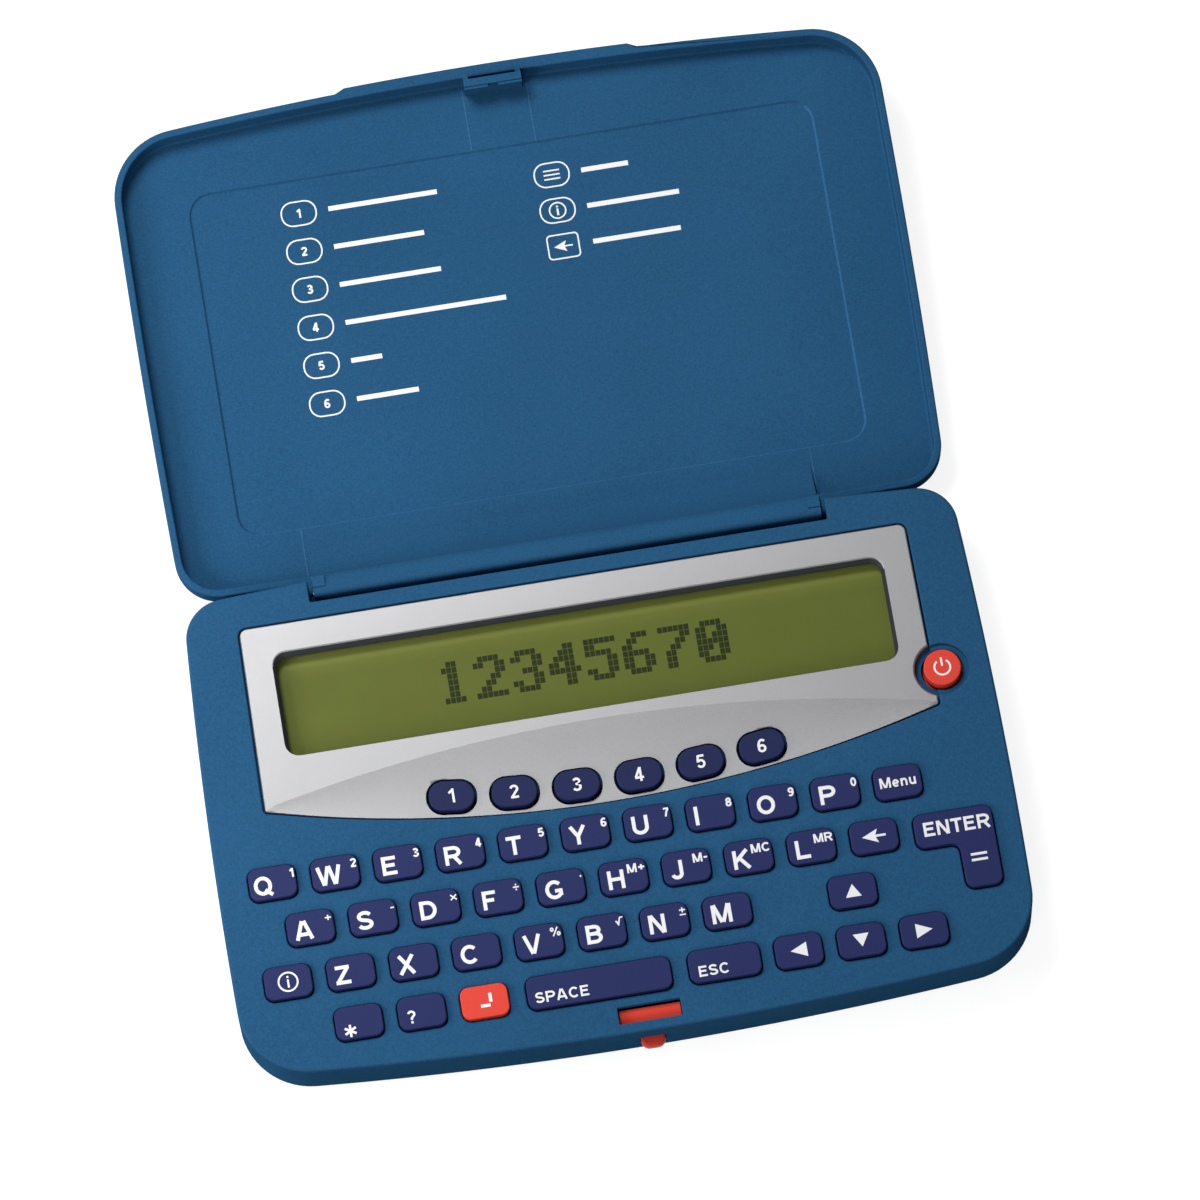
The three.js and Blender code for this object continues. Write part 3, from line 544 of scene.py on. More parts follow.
slot_front = -39.35 * MM
push_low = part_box("release_button")[0]
push_middle_x = 0.6 * MM
push_width = 3.85 * MM
push_bottom = 5.0 * MM
push_top = 6.5 * MM
push_corner = 0.5 * MM
push_clearance = 0.2 * MM
slot_corner = 0.2 * MM
slot_relief_size = 0.9 * MM
recess_length = 10 * MM
recess_corner = 0.3 * MM
boss_radius = 1.5 * MM
boss_reach = 0.74 * MM
piece_gap = 0.3 * MM


def bezel_outline(margin):
    """The bezel's outline: straight sides and top, and one long arc along the bottom."""
    rise = bezel_low_y - bezel_low.y
    radius = (bezel_low_half_width ** 2 + rise ** 2) / (2 * rise)
    spread = math.asin(bezel_low_half_width / radius)
    centre = (0, bezel_low.y + radius)
    low = arc(centre, radius + margin, -math.pi / 2 - spread, -math.pi / 2 + spread, 48)
    low[0] = (low[0][0] - margin, low[0][1])
    low[-1] = (low[-1][0] + margin, low[-1][1])
    high = []
    for side in (1, -1):
        corner = (side * (bezel_top_half_width - bezel_corner), bezel_high.y - bezel_corner)
        start = 0 if side > 0 else math.pi / 2
        high += arc(corner, bezel_corner + margin, start, start + math.pi / 2, 6)
    ends = [
        rounded(corners, bezel_low_corner + margin, 0, 5)[6:12]
        for corners in ((high[-1], low[0], low[1]), (low[-2], low[-1], high[0]))
    ]
    return ends[0] + low[1:-1] + ends[1] + high


plate_underside = case_top - plate_thickness
upper_case = slab("upper_case_shell", bowed_outline(case_shape), case_parting, case_top)
round_edges(upper_case, case_rim, 8, case_top)
round_edges(upper_case, seam_groove, 2, case_parting)
room = slab("room", bowed_outline(case_shape, case_wall), case_parting - overrun, plate_underside)
recess_block = box(
    "recess_block",
    -recess_outer, recess_outer,
    recess_front - recess_wall, behind,
    0, case_top + overrun,
)
combine(room, recess_block)
combine(upper_case, room)
key_mouths = [
    mouth(lambda rim: key_outline(name, key_clearance + rim), case_parting, case_top, hole_rim)
    for name in key_nodes
]
combine(upper_case, join(key_mouths))
pocket_floor = bezel_low.z - piece_gap
pocket = mouth(lambda rim: bezel_outline(bezel_clearance + rim), pocket_floor, case_top, hole_rim)
combine(upper_case, pocket)
for name in oval_nodes:
    combine(upper_case, slab("hole", key_outline(name, oval_clearance), case_parting, case_top))


def round_power(radius):
    """A circle about the power button, as a function of a margin."""
    return lambda margin: circle(power_middle.x, power_middle.y, radius + margin, 64)


dish_floor = case_top - dish_depth
combine(upper_case, mouth(round_power(dish_radius), dish_floor, case_top, dish_rim))
combine(upper_case, mouth(round_power(power_hole_radius), case_parting, dish_floor, power_hole_rim))
view_corners = rectangle(view_middle.x, view_middle.y, view_width, view_height)
view_hole = rounded(view_corners, view_corner, window_margin + piece_gap, 8)
combine(upper_case, slab("hole", view_hole, case_parting, case_top + overrun))
slot_corners = rectangle(slot_middle_x, (slot_front + slot_rear) / 2, slot_width, slot_rear - slot_front)
slot_low = plate_underside - overrun
slot = mouth(lambda rim: rounded(slot_corners, slot_corner, rim), slot_low, case_top, hole_rim)
combine(upper_case, slot)
slot_relief = box(
    "slot_relief",
    slot_middle_x - slot_width / 2, slot_middle_x + slot_width / 2,
    slot_rear - piece_gap, slot_rear + slot_relief_size,
    slot_low, plate_underside + slot_relief_size,
)
combine(upper_case, slot_relief)
push_corners = rectangle(push_middle_x, (push_bottom + push_top) / 2, push_width, push_top - push_bottom)
push_face = rounded(push_corners, push_corner, push_clearance, 9)
push_hole = slab("push_hole", push_face, -case_low.y - case_wall - overrun, overrun - case_low.y)
push_hole.data.transform(Matrix.Rotation(math.pi / 2, 4, "X"))
combine(upper_case, push_hole)
recess_corners = rectangle(0, recess_front + recess_length / 2, 2 * recess_half_width, recess_length)
recess_low = case_parting - overrun
recess = mouth(lambda rim: rounded(recess_corners, recess_corner, rim), recess_low, case_top, hole_rim)
combine(upper_case, recess)


def bar(name, profile, x0, x1):
    """A bar along X with a profile of (y, z) points."""
    piece = slab(name, profile, x0, x1)
    piece.data.transform(Matrix(((0, 0, 1, 0), (1, 0, 0, 0), (0, 1, 0, 0), (0, 0, 0, 1))))
    return piece


boss_outline = circle(hinge_y, hinge_z, boss_radius, 32)
for x0, x1 in (
    (-recess_half_width - piece_gap, -recess_half_width + boss_reach),
    (recess_half_width - boss_reach, recess_half_width + piece_gap),
):
    combine(upper_case, bar("hinge_boss", boss_outline, x0, x1), "UNION")
smooth(upper_case)
dress(upper_case, blue_plastic)
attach(upper_case, "case")
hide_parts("upper_case")

# Lower case: the blue tray that closes the shell from below.
# ABS like the upper case, with a rounded bottom edge, the coin cell's well and its opening,
# and four round wells for the case screws' heads.
tray_floor = 1.5 * MM
tray_rim = 1.5 * MM
recess_rear_cut = hinge_y + piece_gap
door_low, door_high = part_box("battery_door")
cell_low, cell_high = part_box("coin_cell")
cell_middle = (cell_low + cell_high) / 2
cell_radius = (cell_high.x - cell_low.x) / 2
door_corner = 2 * MM
door_middle = (door_low + door_high) / 2
well_wall = 1.2 * MM
screw_x_y = ((54 * MM, -32.2 * MM), (56.4 * MM, 33.4 * MM))
screw_places = [(side * x, y) for x, y in screw_x_y for side in (-1, 1)]
screw_boss_radius = 2.5 * MM
screw_well_radius = 1.9 * MM
screw_well_depth = 1.6 * MM
small_edge = 0.15 * MM


def door_outline(margin):
    """The battery door's plan, grown by a margin."""
    width = door_high.x - door_low.x
    length = door_high.y - door_low.y
    return rounded(rectangle(door_middle.x, door_middle.y, width, length), door_corner, margin)


lower_case = slab("lower_case_tray", bowed_outline(case_shape), 0, case_parting)
round_edges(lower_case, tray_rim, 8, 0)
round_edges(lower_case, seam_groove, 2, case_parting)
tray_room = slab("tray_room", bowed_outline(case_shape, case_wall), tray_floor, case_parting + overrun)
keep_wall = box(
    "keep_wall",
    -recess_outer, recess_outer,
    recess_rear_cut - case_wall, behind,
    0, case_parting + 2 * overrun,
)
combine(tray_room, keep_wall)
combine(lower_case, tray_room)
cell_well = slab("cell_well", door_outline(well_wall), tray_floor / 2, cell_high.z - piece_gap / 2)
combine(lower_case, cell_well, "UNION")
rear_cut = box(
    "rear_cut",
    -recess_half_width, recess_half_width,
    recess_rear_cut, behind,
    -overrun, case_parting + overrun,
)
combine(lower_case, rear_cut)
cell_hole_radius = cell_radius + piece_gap / 2
cell_hole = disc(
    "cell_hole", cell_middle.x, cell_middle.y, cell_hole_radius, -overrun, case_parting + overrun, 96
)
combine(lower_case, cell_hole)
combine(lower_case, slab("door_hole", door_outline(piece_gap / 2), -overrun, cell_low.z))
for x, y in screw_places:
    combine(lower_case, disc("boss", x, y, screw_boss_radius, tray_floor / 2, case_parting), "UNION")
    combine(lower_case, disc("well", x, y, screw_well_radius, -overrun, screw_well_depth))
round_edges(lower_case, small_edge, 2, 0)
smooth(lower_case)
dress(lower_case, blue_plastic)
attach(lower_case, "case")
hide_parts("lower_case")

# Case screws: four small steel pan heads with a cross recess, sunk in the underside.
# Only the heads are modelled: the threads would sit out of sight in the upper case.
screw_head_radius = 1.6 * MM
screw_head_height = 1.0 * MM
screw_head_edge = 0.3 * MM
screw_recess_width = 0.5 * MM
screw_recess_length = 2.1 * MM
screw_recess_depth = 0.6 * MM
head_bottom = screw_well_depth - screw_head_height
screw = disc("case_screw_1", 0, 0, screw_head_radius, head_bottom, screw_well_depth, 40)
round_edges(screw, screw_head_edge, 3, head_bottom)
cross_sizes = (screw_recess_length, screw_recess_width)
for wide, deep in (cross_sizes, cross_sizes[::-1]):
    cross = box(
        "cross",
        -wide / 2, wide / 2,
        -deep / 2, deep / 2,
        head_bottom - overrun, head_bottom + screw_recess_depth,
    )
    combine(screw, cross)
smooth(screw)


def metal(name, colour, roughness, pitch, depth):
    """Plain metal with fine tool marks."""
    finish = Finish(name)
    marks = finish.grain(pitch, detail=4.0, roughness=0.7)
    return finish.wear(
        Base_Color=finish.blend(marks, shade(colour, 0.85), shade(colour, 1.12)),
        Metallic=1.0,
        Roughness=marks * 0.25 + (roughness - 0.12),
        Normal=finish.bump(marks, depth),
    )


screw_steel = metal("screw_steel", (0.5, 0.5, 0.51), 0.35, 0.4 * MM, 0.01 * MM)
dress(screw, screw_steel)


def copy_of(piece, name):
    """A copy with its own mesh."""
    twin = piece.copy()
    twin.data = piece.data.copy()
    twin.name = name
    bpy.context.scene.collection.objects.link(twin)
    return twin


screws = [screw] + [copy_of(screw, f"case_screw_{i}") for i in (2, 3, 4)]
for piece, (x, y) in zip(screws, screw_places):
    piece.data.transform(Matrix.Translation((x, y, 0)))
    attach(piece, "case")

# Battery door: the snap-in cover over the coin cell, with a groove for a fingernail.
# It is moulded in the case's blue ABS and sits flush with the underside.
groove_length = 8 * MM
groove_width = 1 * MM
groove_depth = 0.6 * MM
door = slab("battery_door_cover", door_outline(0), 0, door_high.z)
groove_y = door_low.y + groove_width
groove = box(
    "groove",
    door_middle.x - groove_length / 2, door_middle.x + groove_length / 2,
    groove_y, groove_y + groove_width,
    -overrun, groove_depth,
)
combine(door, groove)
round_edges(door, small_edge, 2, 0)
smooth(door)
dress(door, blue_plastic)
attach(door, "battery_cover")
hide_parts("battery_door")

# Display bezel: the silver frame round the display and the function buttons.
# A moulded ABS plate with silver metallic paint, set flush in a pocket of the upper case. Below the
# display it has a shallow hollow facet.
bezel_edge = 0.25 * MM
oval_gap = 0.42 * MM
oval_mouth_drop = 0.2 * MM
# The display opening's slope: how far it spreads, and how deep it lies there, in millimetres
view_profile = ((0, 0.75), (0.1, 0.63), (0.72, 0.1), (0.98, 0))
bezel = slab("display_frame", bezel_outline(0), bezel_low.z, bezel_high.z)
round_edges(bezel, bezel_edge, 4, bezel_high.z)
facet_top_y = 10.4 * MM
facet_end_y = 4.1 * MM
facet_drop = 0.5 * MM
facet_half_width = bezel_low_half_width + overrun
facet_columns = 40
facet_rows = 6
facet_overlap = 1.2
facet_cut_height = 2 * MM
crease_reach = 0.03 * MM
view_side_spread = 0.6


def crease_at(x):
    """Where the facet starts: a shallow arc across the bezel."""
    return facet_top_y - (facet_top_y - facet_end_y) * (x / facet_half_width) ** 2


bpy.ops.object.select_all(action="DESELECT")
bpy.ops.mesh.primitive_grid_add(x_subdivisions=facet_columns, y_subdivisions=facet_rows, size=2)
facet = bpy.context.object
for vertex in facet.data.vertices:
    across = vertex.co.x
    down = (1 - vertex.co.y) / 2 * facet_overlap
    x = across * facet_half_width
    crease = crease_at(x)
    edge = bezel_low.y + (bezel_low_y - bezel_low.y) * across ** 2
    reach = crease - edge
    depth = facet_drop * (1 - (1 - down) ** 2) * reach / (facet_top_y - bezel_low.y)
    vertex.co = (x, crease - reach * down, bezel_high.z - depth)
bpy.ops.object.mode_set(mode="EDIT")
bpy.ops.mesh.select_all(action="SELECT")
bpy.ops.mesh.extrude_region_move(TRANSFORM_OT_translate={"value": (0, 0, facet_cut_height)})
bpy.ops.mesh.select_all(action="SELECT")
bpy.ops.mesh.normals_make_consistent(inside=False)
bpy.ops.object.mode_set(mode="OBJECT")
combine(bezel, facet)


def view_mouth(spread):
    """The opening's outline up its slope: it spreads above and beside, and drops straight below."""
    width = view_width + 2 * view_side_spread * spread
    corners = rectangle(view_middle.x, view_middle.y + spread / 2, width, view_height + spread)
    return rounded(corners, view_corner + spread / 2, 0, 8)


view_rings = [(view_mouth(0), bezel_low.z - overrun)]
view_rings += [(view_mouth(spread * MM), bezel_high.z - depth * MM) for spread, depth in view_profile]
view_rings.append((view_rings[-1][0], bezel_high.z + overrun))
combine(bezel, loft("view", view_rings))
oval_mouth_top = bezel_high.z - oval_mouth_drop
for name in oval_nodes:
    hole = mouth(lambda rim: key_outline(name, oval_gap + rim), case_parting, oval_mouth_top, hole_rim)
    combine(bezel, hole)
combine(bezel, mouth(round_power(dish_radius + bezel_clearance), case_parting, bezel_high.z, dish_rim))


def on_crease(edge, *ends):
    """Tells the edges along the facet's crease."""
    on_top = all(abs(end.z - bezel_high.z) < near for end in ends)
    return on_top and all(abs(end.y - crease_at(end.x)) < crease_reach for end in ends)


smooth(bezel, crease=on_crease)
paint_drift_pitch = 9 * MM


def painted(name, colour, flake_pitch, flake_depth, roughness):
    """Silver paint: fine metal flake over plastic, with a slow drift of tone."""
    finish = Finish(name)
    flakes = ((finish.grain(flake_pitch, detail=2.0, roughness=0.7) - 0.5) * 2.0 + 0.5).kept()
    drift = finish.grain(paint_drift_pitch, detail=2.0)
    tone = (flakes * 0.75 + drift * 0.25).kept()
    return finish.wear(
        Base_Color=finish.blend(tone, shade(colour, 0.86), shade(colour, 1.12)),
        Metallic=0.8,
        Roughness=flakes * 0.15 + (roughness - 0.08),
        Normal=finish.bump(flakes, flake_depth),
    )


silver_paint = painted("silver_paint", (0.37, 0.37, 0.382), 0.2 * MM, 0.006 * MM, 0.48)
# The dark grey is painted shade on the walls of the display opening and the oval holes, which lie in shade.
painted_shade_grey = moulded("painted_shade_grey", (0.028, 0.03, 0.034), 0.5, 0.2 * MM, 0.006 * MM, mottle=0.1, sheen=0.2)
dress(bezel, silver_paint, painted_shade_grey)
oval_middles = [(sum(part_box(name), Vector()) / 2).xy for name in oval_nodes]
oval_reach = 4.9 * MM
view_slope_width = 1.1 * MM
slope_limit = 0.85
wall_limit = 0.5
view_reach_x = view_width / 2 + view_slope_width
view_reach_y = view_height / 2 + view_slope_width


def gets_painted_shade(face):
    """Tells the walls of the display opening and of the oval holes, which take a dark grey as painted
    shade.
    """
    x, y, z = face.center
    if abs(x - view_middle.x) < view_reach_x and abs(y - view_middle.y) < view_reach_y:
        return abs(face.normal.z) < slope_limit
    by_oval = any((middle - face.center.xy).length < oval_reach for middle in oval_middles)
    return by_oval and abs(face.normal.z) < wall_limit


for face in bezel.data.polygons:
    face.material_index = 1 if gets_painted_shade(face) else 0
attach(bezel, "case")
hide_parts("display_bezel")

# Display window: the clear plastic pane under the bezel's opening, a sheet of acrylic.
# The CAD's own pane keeps its shape and gets a nearly clear finish.
window_clear = Finish("window_clear")
window_marks = window_clear.grain(6 * MM)
window_clear.wear(Base_Color=(0.03, 0.035, 0.02), Roughness=window_marks * 0.05 + 0.08, Alpha=0.06)
dress(bpy.data.objects["display_window"], window_clear.material)

# Display glass: the liquid crystal panel on the board, grey-green, with dark square dots.
# The dots are drawn as a thin layer on the glass: plain digits, eight places of seven rows.
glass_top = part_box("lcd_panel")[1].z
lcd_green = Finish("lcd_green")
lcd_cloud = lcd_green.grain(7 * MM, detail=2.0)
lcd_fine = lcd_green.grain(0.12 * MM, detail=1.0)
lcd_y = lcd_green.node("SeparateXYZ", inputs={"Vector": lcd_green.place()}, output=1)
lcd_high_y = view_high.y - window_margin
# Painted light: the glass is lighter towards the rear, a band as a painted reflection and in it a brighter
# edge that paints out the top wall's shadow, each with its fade
band_depth, band_fade = 3.6 * MM, 1.6 * MM
edge_depth, edge_fade = 1.9 * MM, 0.9 * MM
lcd_painted_reflection = ((lcd_y - (lcd_high_y - band_depth)) / band_fade).kept()
lcd_painted_light = ((lcd_y - (lcd_high_y - edge_depth)) / edge_fade).kept()
lcd_tone = (lcd_cloud * 0.17 + lcd_fine * 0.1 + lcd_painted_reflection * 0.17 + lcd_painted_light * 0.45).kept()
lcd_green.wear(
    Base_Color=lcd_green.blend(lcd_tone, (0.134, 0.162, 0.028), (0.26, 0.3, 0.064)),
    Roughness=lcd_fine * 0.1 + 0.5,
    Specular_IOR_Level=0.1,
)
dress(bpy.data.objects["lcd_panel"], lcd_green.material)
digit_rows = {
    "0": ("011110", "110011", "110111", "111111", "111011", "110011", "011110"),
    "1": ("001100", "011100", "001100", "001100", "001100", "001100", "011110"),
    "2": ("011110", "110011", "000011", "000110", "001100", "011000", "111111"),
    "3": ("011110", "110011", "000011", "001110", "000011", "110011", "011110"),
    "4": ("000110", "001110", "011110", "110110", "111111", "000110", "000110"),
    "5": ("111111", "110000", "111110", "000011", "000011", "110011", "011110"),
    "6": ("001110", "011000", "110000", "111110", "110011", "110011", "011110"),
    "7": ("111111", "000011", "000110", "001100", "011000", "011000", "011000"),
}
dot_pitch_x = 0.845 * MM
dot_pitch_y = 1.0 * MM
dot_gap = 0.1 * MM
dot_thickness = 0.03 * MM
digits_left = -23.6 * MM
digits_top = 24.2 * MM
digit_columns = 7
dots = [
    (digits_left + (place * digit_columns + column) * dot_pitch_x, digits_top - row * dot_pitch_y)
    for place, digit in enumerate("12345670")
    for row, line in enumerate(digit_rows[digit])
    for column, mark in enumerate(line)
    if mark == "1"
]
first_dot = box(
    "display_dots",
    0, dot_pitch_x - dot_gap,
    dot_gap - dot_pitch_y, 0,
    glass_top, glass_top + dot_thickness,
)
display_dots = [first_dot] + [copy_of(first_dot, "dot") for _ in dots[1:]]
for dot, (x, y) in zip(display_dots, dots):
    dot.data.transform(Matrix.Translation((x, y, 0)))
display_dots = join(display_dots)
dot_ink = Finish("dot_ink")
dot_tone = dot_ink.grain(0.5 * MM)
dot_ink.wear(
    Base_Color=dot_ink.blend(dot_tone, (0.018, 0.025, 0.005), (0.036, 0.048, 0.011)),
    Roughness=0.5,
    Specular_IOR_Level=0.1,
)
dress(display_dots, dot_ink.material)
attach(display_dots, "case")

# Keys: thirty-nine keycaps on the silicone sheet, all navy but the red shift key.
# Each is moulded ABS with a flange under the case, a rounded top edge and white print.
key_low, key_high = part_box("key_q")
cap_drop = 0.35 * MM
key_top = key_high.z - cap_drop
flange_top = 7.9 * MM
cap_edge = 0.2 * MM
ink_height = 0.02 * MM
navy = (0.022, 0.03, 0.12)
red = (0.79, 0.065, 0.042)
navy_plastic = moulded("navy_plastic", navy, 0.45, 0.2 * MM, 0.006 * MM, mottle=0.1, sheen=0.1)
red_plastic = moulded("red_plastic", red, 0.42, 0.2 * MM, 0.006 * MM, mottle=0.08, sheen=0.15)
white_ink = moulded("white_ink", (0.93, 0.935, 0.95), 0.5, 0.3 * MM, 0.004 * MM, mottle=0.03, sheen=0.1)


def keycap(name, outline, flange, top):
    """A flange and a body with a rounded top edge, as one closed shape."""
    cap = slab(name, outline, flange_top - key_flange, top)
    round_edges(cap, cap_edge, 5, top)
    combine(cap, slab("flange", flange, key_low.z, flange_top), "UNION")
    smooth(cap)
    return cap


def bow(x, y, half_width, half_height, start, end, steps=12):
    """Points on an elliptical arc between two angles in degrees."""
    angles = [math.radians(start + (end - start) * i / steps) for i in range(steps + 1)]
    return [(x + half_width * math.cos(a), y + half_height * math.sin(a)) for a in angles]


def ring(x, y, half_width, half_height):
    """A closed loop in two strokes."""
    return [bow(x, y, half_width, half_height, start, start + 180, 14) for start in (0, 180)]


# Strokes that several capitals share
open_round = bow(0.43, 0.5, 0.33, 0.41, 42, 318, 20)
full_round = ring(0.42, 0.5, 0.33, 0.41)
stem = [(0.1, 0), (0.1, 1)]
pot = [(0.1, 0.9)] + bow(0.43, 0.68, 0.25, 0.22, 90, -90) + [(0.1, 0.46)]
# Each mark: its width, then its strokes, for a capital one unit high
glyphs = {
    "A": (0.88, [(0.1, 0), (0.4, 1)], [(0.78, 0), (0.48, 1)], [(0.2, 0.28), (0.68, 0.28)]),
    "B": (
        0.76,
        stem,
        [(0.1, 0.9)] + bow(0.4, 0.715, 0.21, 0.185, 90, -90) + [(0.1, 0.53)],
        [(0.1, 0.53)] + bow(0.42, 0.315, 0.24, 0.215, 90, -90) + [(0.1, 0.1)],
    ),
    "C": (0.82, open_round),
    "D": (0.8, stem, [(0.1, 0.9)] + bow(0.34, 0.5, 0.35, 0.4, 90, -90, 16) + [(0.1, 0.1)]),
    "E": (0.7, stem, [(0.1, 0.9), (0.66, 0.9)], [(0.1, 0.52), (0.6, 0.52)], [(0.1, 0.1), (0.68, 0.1)]),
    "F": (0.64, stem, [(0.1, 0.9), (0.62, 0.9)], [(0.1, 0.5), (0.54, 0.5)]),
    "G": (0.86, open_round, [(0.45, 0.43), (0.77, 0.43)], [(0.71, 0.5), (0.71, 0.16)]),
    "H": (0.78, stem, [(0.68, 0), (0.68, 1)], [(0.1, 0.53), (0.68, 0.53)]),
    "I": (0.2, stem),
    "J": (0.6, [(0.5, 1)] + bow(0.3, 0.29, 0.2, 0.2, 0, -170)),
    "K": (0.8, stem, [(0.68, 1), (0.12, 0.4)], [(0.3, 0.6), (0.73, 0)]),
    "L": (0.66, stem, [(0.1, 0.1), (0.66, 0.1)]),
    "M": (0.94, stem, [(0.84, 0), (0.84, 1)], [(0.14, 1), (0.44, 0.05)], [(0.8, 1), (0.5, 0.05)]),
    "N": (0.78, stem, [(0.68, 0), (0.68, 1)], [(0.13, 0.98), (0.65, 0.02)]),
    "O": (0.84, *full_round),
    "P": (0.74, stem, pot),
    "Q": (0.86, *full_round, [(0.5, 0.27), (0.82, -0.02)]),
    "R": (0.8, stem, pot, [(0.42, 0.46), (0.71, 0)]),
    "S": (0.74, bow(0.37, 0.71, 0.26, 0.195, 20, 262) + bow(0.37, 0.295, 0.28, 0.2, 82, -162)),
    "T": (0.68, [(0, 0.9), (0.68, 0.9)], [(0.34, 0), (0.34, 0.9)]),
    "U": (0.78, [(0.1, 1)] + bow(0.39, 0.38, 0.29, 0.29, 180, 360) + [(0.68, 1)]),
    "V": (0.84, [(0.09, 1), (0.4, 0)], [(0.75, 1), (0.44, 0)]),
    "W": (
        1.16,
        [(0.09, 1), (0.32, 0)],
        [(0.56, 1), (0.34, 0)],
        [(0.6, 1), (0.82, 0)],
        [(1.07, 1), (0.84, 0)],
    ),
    "X": (0.82, [(0.1, 0), (0.72, 1)], [(0.72, 0), (0.1, 1)]),
    "Y": (0.8, [(0.09, 1), (0.39, 0.45)], [(0.71, 1), (0.41, 0.45)], [(0.4, 0), (0.4, 0.5)]),
    "Z": (0.74, [(0.05, 0.9), (0.69, 0.9)], [(0.62, 0.88), (0.12, 0.12)], [(0.03, 0.1), (0.71, 0.1)]),
    "0": (0.58, *ring(0.29, 0.5, 0.19, 0.4)),
    "1": (0.4, [(0.3, 0), (0.3, 1)], [(0.05, 0.7), (0.3, 0.92)]),
    "2": (0.58, bow(0.28, 0.69, 0.2, 0.21, 165, -25) + [(0.08, 0.08)], [(0.04, 0.1), (0.52, 0.1)]),
    "3": (0.58, bow(0.27, 0.715, 0.18, 0.185, 155, -90) + bow(0.27, 0.31, 0.21, 0.21, 90, -158)),
    "4": (0.6, [(0.38, 0), (0.38, 1)], [(0.36, 0.97), (0.06, 0.28)], [(0.03, 0.27), (0.56, 0.27)]),
    "5": (
        0.58,
        [(0.5, 0.9), (0.17, 0.9)],
        [(0.15, 0.95), (0.1, 0.45)],
        bow(0.28, 0.34, 0.2, 0.24, 140, -155),
    ),
    "6": (0.58, *ring(0.29, 0.31, 0.19, 0.21), bow(0.33, 0.48, 0.23, 0.42, 50, 200)),
    "7": (0.56, [(0.04, 0.9), (0.53, 0.9)], [(0.5, 0.86), (0.3, 0.5), (0.2, 0)]),
    "8": (0.58, *ring(0.29, 0.715, 0.17, 0.185), *ring(0.29, 0.3, 0.2, 0.2)),
    "9": (0.58, *ring(0.29, 0.69, 0.19, 0.21), bow(0.25, 0.52, 0.23, 0.42, 20, -130)),
    "+": (0.7, [(0.06, 0.5), (0.64, 0.5)], [(0.35, 0.21), (0.35, 0.79)]),
    "-": (0.4, [(0.03, 0.45), (0.37, 0.45)]),
    "×": (0.66, [(0.05, 0.2), (0.61, 0.76)], [(0.05, 0.76), (0.61, 0.2)]),
    "÷": (0.7, [(0.06, 0.5), (0.64, 0.5)], [(0.35, 0.68), (0.35, 0.86)], [(0.35, 0.14), (0.35, 0.32)]),
    "·": (0.3, [(0.15, 0.45), (0.15, 0.67)]),
    "%": (1.0, *ring(0.2, 0.76, 0.12, 0.17), *ring(0.8, 0.24, 0.12, 0.17), [(0.26, 0), (0.74, 1)]),
    "√": (
        0.8,
        [(0.04, 0.5), (0.2, 0.5)],
        [(0.17, 0.55), (0.32, 0.05)],
        [(0.3, 0.05), (0.5, 0.92)],
        [(0.48, 0.92), (0.8, 0.92)],
    ),
    "±": (0.7, [(0.06, 0.62), (0.64, 0.62)], [(0.35, 0.34), (0.35, 0.9)], [(0.06, 0.1), (0.64, 0.1)]),
    "=": (0.86, [(0.04, 0.66), (0.82, 0.66)], [(0.04, 0.34), (0.82, 0.34)]),
    "*": (0.8, *[
        [(0.4 + way * 0.4 * math.cos(a), 0.5 + way * 0.45 * math.sin(a)) for way in (-1, 1)]
        for a in (math.pi / 2, math.pi / 6, math.pi * 5 / 6)
    ]),
    "?": (0.6, bow(0.3, 0.71, 0.2, 0.2, 165, -60) + [(0.3, 0.4), (0.3, 0.27)], [(0.3, 0), (0.3, 0.17)]),
    "e": (0.58, [(0.1, 0.36), (0.48, 0.36)], bow(0.29, 0.36, 0.2, 0.28, 0, 320, 16)),
    "n": (0.6, [(0.1, 0), (0.1, 0.72)], bow(0.3, 0.42, 0.19, 0.22, 180, 0) + [(0.49, 0)]),
    "u": (0.6, [(0.49, 0), (0.49, 0.72)], [(0.1, 0.72)] + bow(0.3, 0.3, 0.19, 0.22, 180, 360)),
    "i": (0.24, [(0.12, 0), (0.12, 0.7)], [(0.12, 0.82), (0.12, 1)]),
}
glyph_space = 0.1
glyph_stretch = 1.13
ink_step = 0.003 * MM


def stroke_outline(points, width):
    """The edge of a stroke of even width along some points."""
    points = [Vector(p) for p in points]
    sides = ([], [])
    for i, point in enumerate(points):
        before = (point - points[i - 1]).normalized() if i else None
        after = (points[i + 1] - point).normalized() if i + 1 < len(points) else None
        before, after = before or after, after or before
        along = (before + after).normalized()
        reach = width / 2 / max(0.5, along.dot(before))
        across = Vector((-along.y, along.x)) * reach
        sides[0].append(tuple(point - across))
        sides[1].append(tuple(point + across))
    return sides[0] + sides[1][::-1]


def ink_line(points, width, height):
    """A printed line through some points."""
    return slab("ink", stroke_outline(points, width), height - ink_height / 2, height + ink_height)


def ink_loop(points, width, height):
    """A printed closed line, in two halves."""
    half = len(points) // 2
    return join([
        ink_line(points[:half + 1], width, height),
        ink_line(points[half:] + points[:1], width, height),
    ])


def lettering(words, x, y, cap_height, height, weight=0.2, align=0.5):
    """Printed characters with their baseline at y; align is the share of their width left of x.

    Each stroke of a character lies a hair above the last, so that no two share a surface.
    """
    across = cap_height * glyph_stretch
    start = x - align * across * (sum(glyphs[c][0] + glyph_space for c in words) - glyph_space)
    strokes = []
    for character in words:
        for i, stroke in enumerate(glyphs[character][1:]):
            points = [(start + a * across, y + b * cap_height) for a, b in stroke]
            strokes.append(ink_line(points, weight * cap_height, height + i * ink_step))
        start += (glyphs[character][0] + glyph_space) * across
    return join(strokes)


def centred(words, x, y, cap_height, height, weight=0.2):
    """Printed characters with their middle at x, y."""
    return lettering(words, x, y - cap_height / 2, cap_height, height, weight)


def ink_patch(points, height):
    """A printed solid shape."""
    return slab("patch", points, height - ink_height / 2, height + ink_height)


